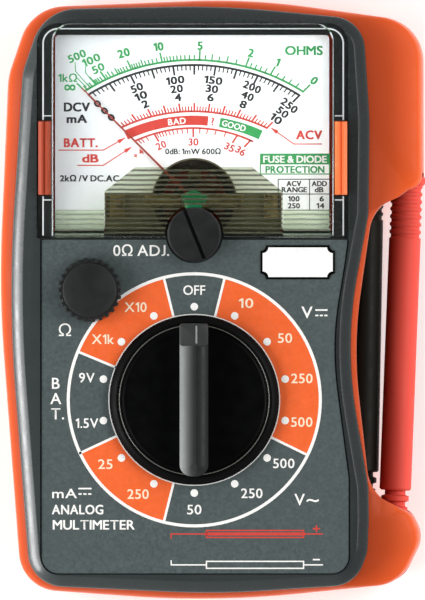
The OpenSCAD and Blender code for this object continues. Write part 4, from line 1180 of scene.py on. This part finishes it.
def make_lacquer(m):
    """A dab of green locking lacquer over the upper jewel screw."""
    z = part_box("upper_bridge")[1].z / MM
    turn = np.linspace(0, -2 * math.pi, 64, endpoint=False)
    edge = 1 + 0.09 * np.sin(3 * turn + 0.7) + 0.06 * np.sin(5 * turn)
    rings = [np.stack([PIVOT[0] + 2.8 * k * edge * np.cos(turn), PIVOT[1] + 2.3 * k * edge * np.sin(turn)], 1)
             for k in (1.0, 0.99, 0.9, 0.7, 0.4, 0.1)]
    dab = loft("dab", rings, [z - 0.05, z + 0.3, z + 0.65, z + 0.85, z + 0.93, z + 0.95], 60)
    add("jewel_lacquer", dab, "case", m["lacquer"])


def finish_nodes(m):
    """Gives every CAD node that shows its material."""
    for finish, names in FINISHES.items():
        for name in names.split():
            for slot in NODES[name].material_slots:
                slot.material = m[finish]


def make_floor():
    size = 6.0
    floor = mesh_object("floor", [(x * size / MM, y * size / MM, 0) for x, y in ((-1, -1), (1, -1), (1, 1), (-1, 1))],
                        [(0, 1, 2, 3)])
    s = Shader("floor_pale", 0.7)
    s.colour(s.ramp(s.noise(8.0), [(0.3, (0.95, 0.95, 0.95)), (0.7, (0.97, 0.97, 0.97))]))
    put(s.shader, {"Emission Color": (0.85, 1.0, 1.0, 1), "Emission Strength": 0.22})
    floor.data.materials.append(s.material)


def softbox(name, at, target, size, power, only=()):
    """A soft rectangular lamp, which lights every piece or only the named ones."""
    from mathutils import Vector
    light = bpy.data.lights.new(name, "AREA")
    light.shape = "RECTANGLE"
    light.size, light.size_y = size
    light.energy = power
    obj = bpy.data.objects.new(name, light)
    obj.location = at
    obj.rotation_euler = (Vector(target) - Vector(at)).to_track_quat("-Z", "Y").to_euler()
    bpy.context.scene.collection.objects.link(obj)
    if only:
        group = bpy.data.collections.new(name + "_receivers")
        for piece in only:
            group.objects.link(bpy.data.objects[piece])
        obj.light_linking.receiver_collection = group


def make_studio():
    softbox("left_box", (-0.5, -0.1, 0.36), (0, 0, 0), (0.5, 0.3), 3.0)
    softbox("edge_box", (-0.55, -0.17, 0.135), (0, -0.02, 0.02), (0.5, 0.09), 8.5, ["front_bezel"])
    softbox("right_box", (0.45, 0.1, 0.48), (0, 0, 0), (0.5, 0.24), 2.0)
    world = bpy.data.worlds.new("studio")
    bpy.context.scene.world = world
    world.use_nodes = True
    tree = world.node_tree
    background = tree.nodes["Background"]
    place = tree.nodes.new("ShaderNodeTexCoord")
    split = tree.nodes.new("ShaderNodeSeparateXYZ")
    ramp = tree.nodes.new("ShaderNodeValToRGB")
    ramp.color_ramp.elements.remove(ramp.color_ramp.elements[1])
    for i, (height, grey) in enumerate(((0.1, 0.95), (0.6, 0.8), (0.88, 0.3), (0.97, 0.05))):
        stop = ramp.color_ramp.elements[0] if i == 0 else ramp.color_ramp.elements.new(height)
        stop.position, stop.color = height, (grey, grey, grey, 1)
    tree.links.new(place.outputs["Generated"], split.inputs[0])
    tree.links.new(split.outputs["Z"], ramp.inputs["Fac"])
    tree.links.new(ramp.outputs["Color"], background.inputs["Color"])
    background.inputs["Strength"].default_value = 0.86


def make_camera():
    data = bpy.data.cameras.new("camera")
    distance, tall = 3.0, 0.138
    data.sensor_width = 36.0
    data.lens = 36.0 * distance / tall
    data.clip_start, data.clip_end = 0.1, 20.0
    obj = bpy.data.objects.new("camera", data)
    obj.location = (-0.000115, -0.00007, distance + 0.024)
    bpy.context.scene.collection.objects.link(obj)
    bpy.context.scene.camera = obj


def main():
    m = make_materials()
    finish_nodes(m)
    make_rear_case(m)
    make_bezel(m)
    make_ledge_liner(m)
    make_panel(m)
    make_name_plate(m)
    range_prints(m)
    panel_words(m)
    make_scale(m)
    make_selector(m)
    make_ohm_knob(m)
    make_window(m)
    make_ribs(m)
    make_window_edges(m)
    make_lacquer(m)
    make_floor()
    make_studio()
    make_camera()
    bpy.context.scene.view_settings.view_transform = "Standard"


main()
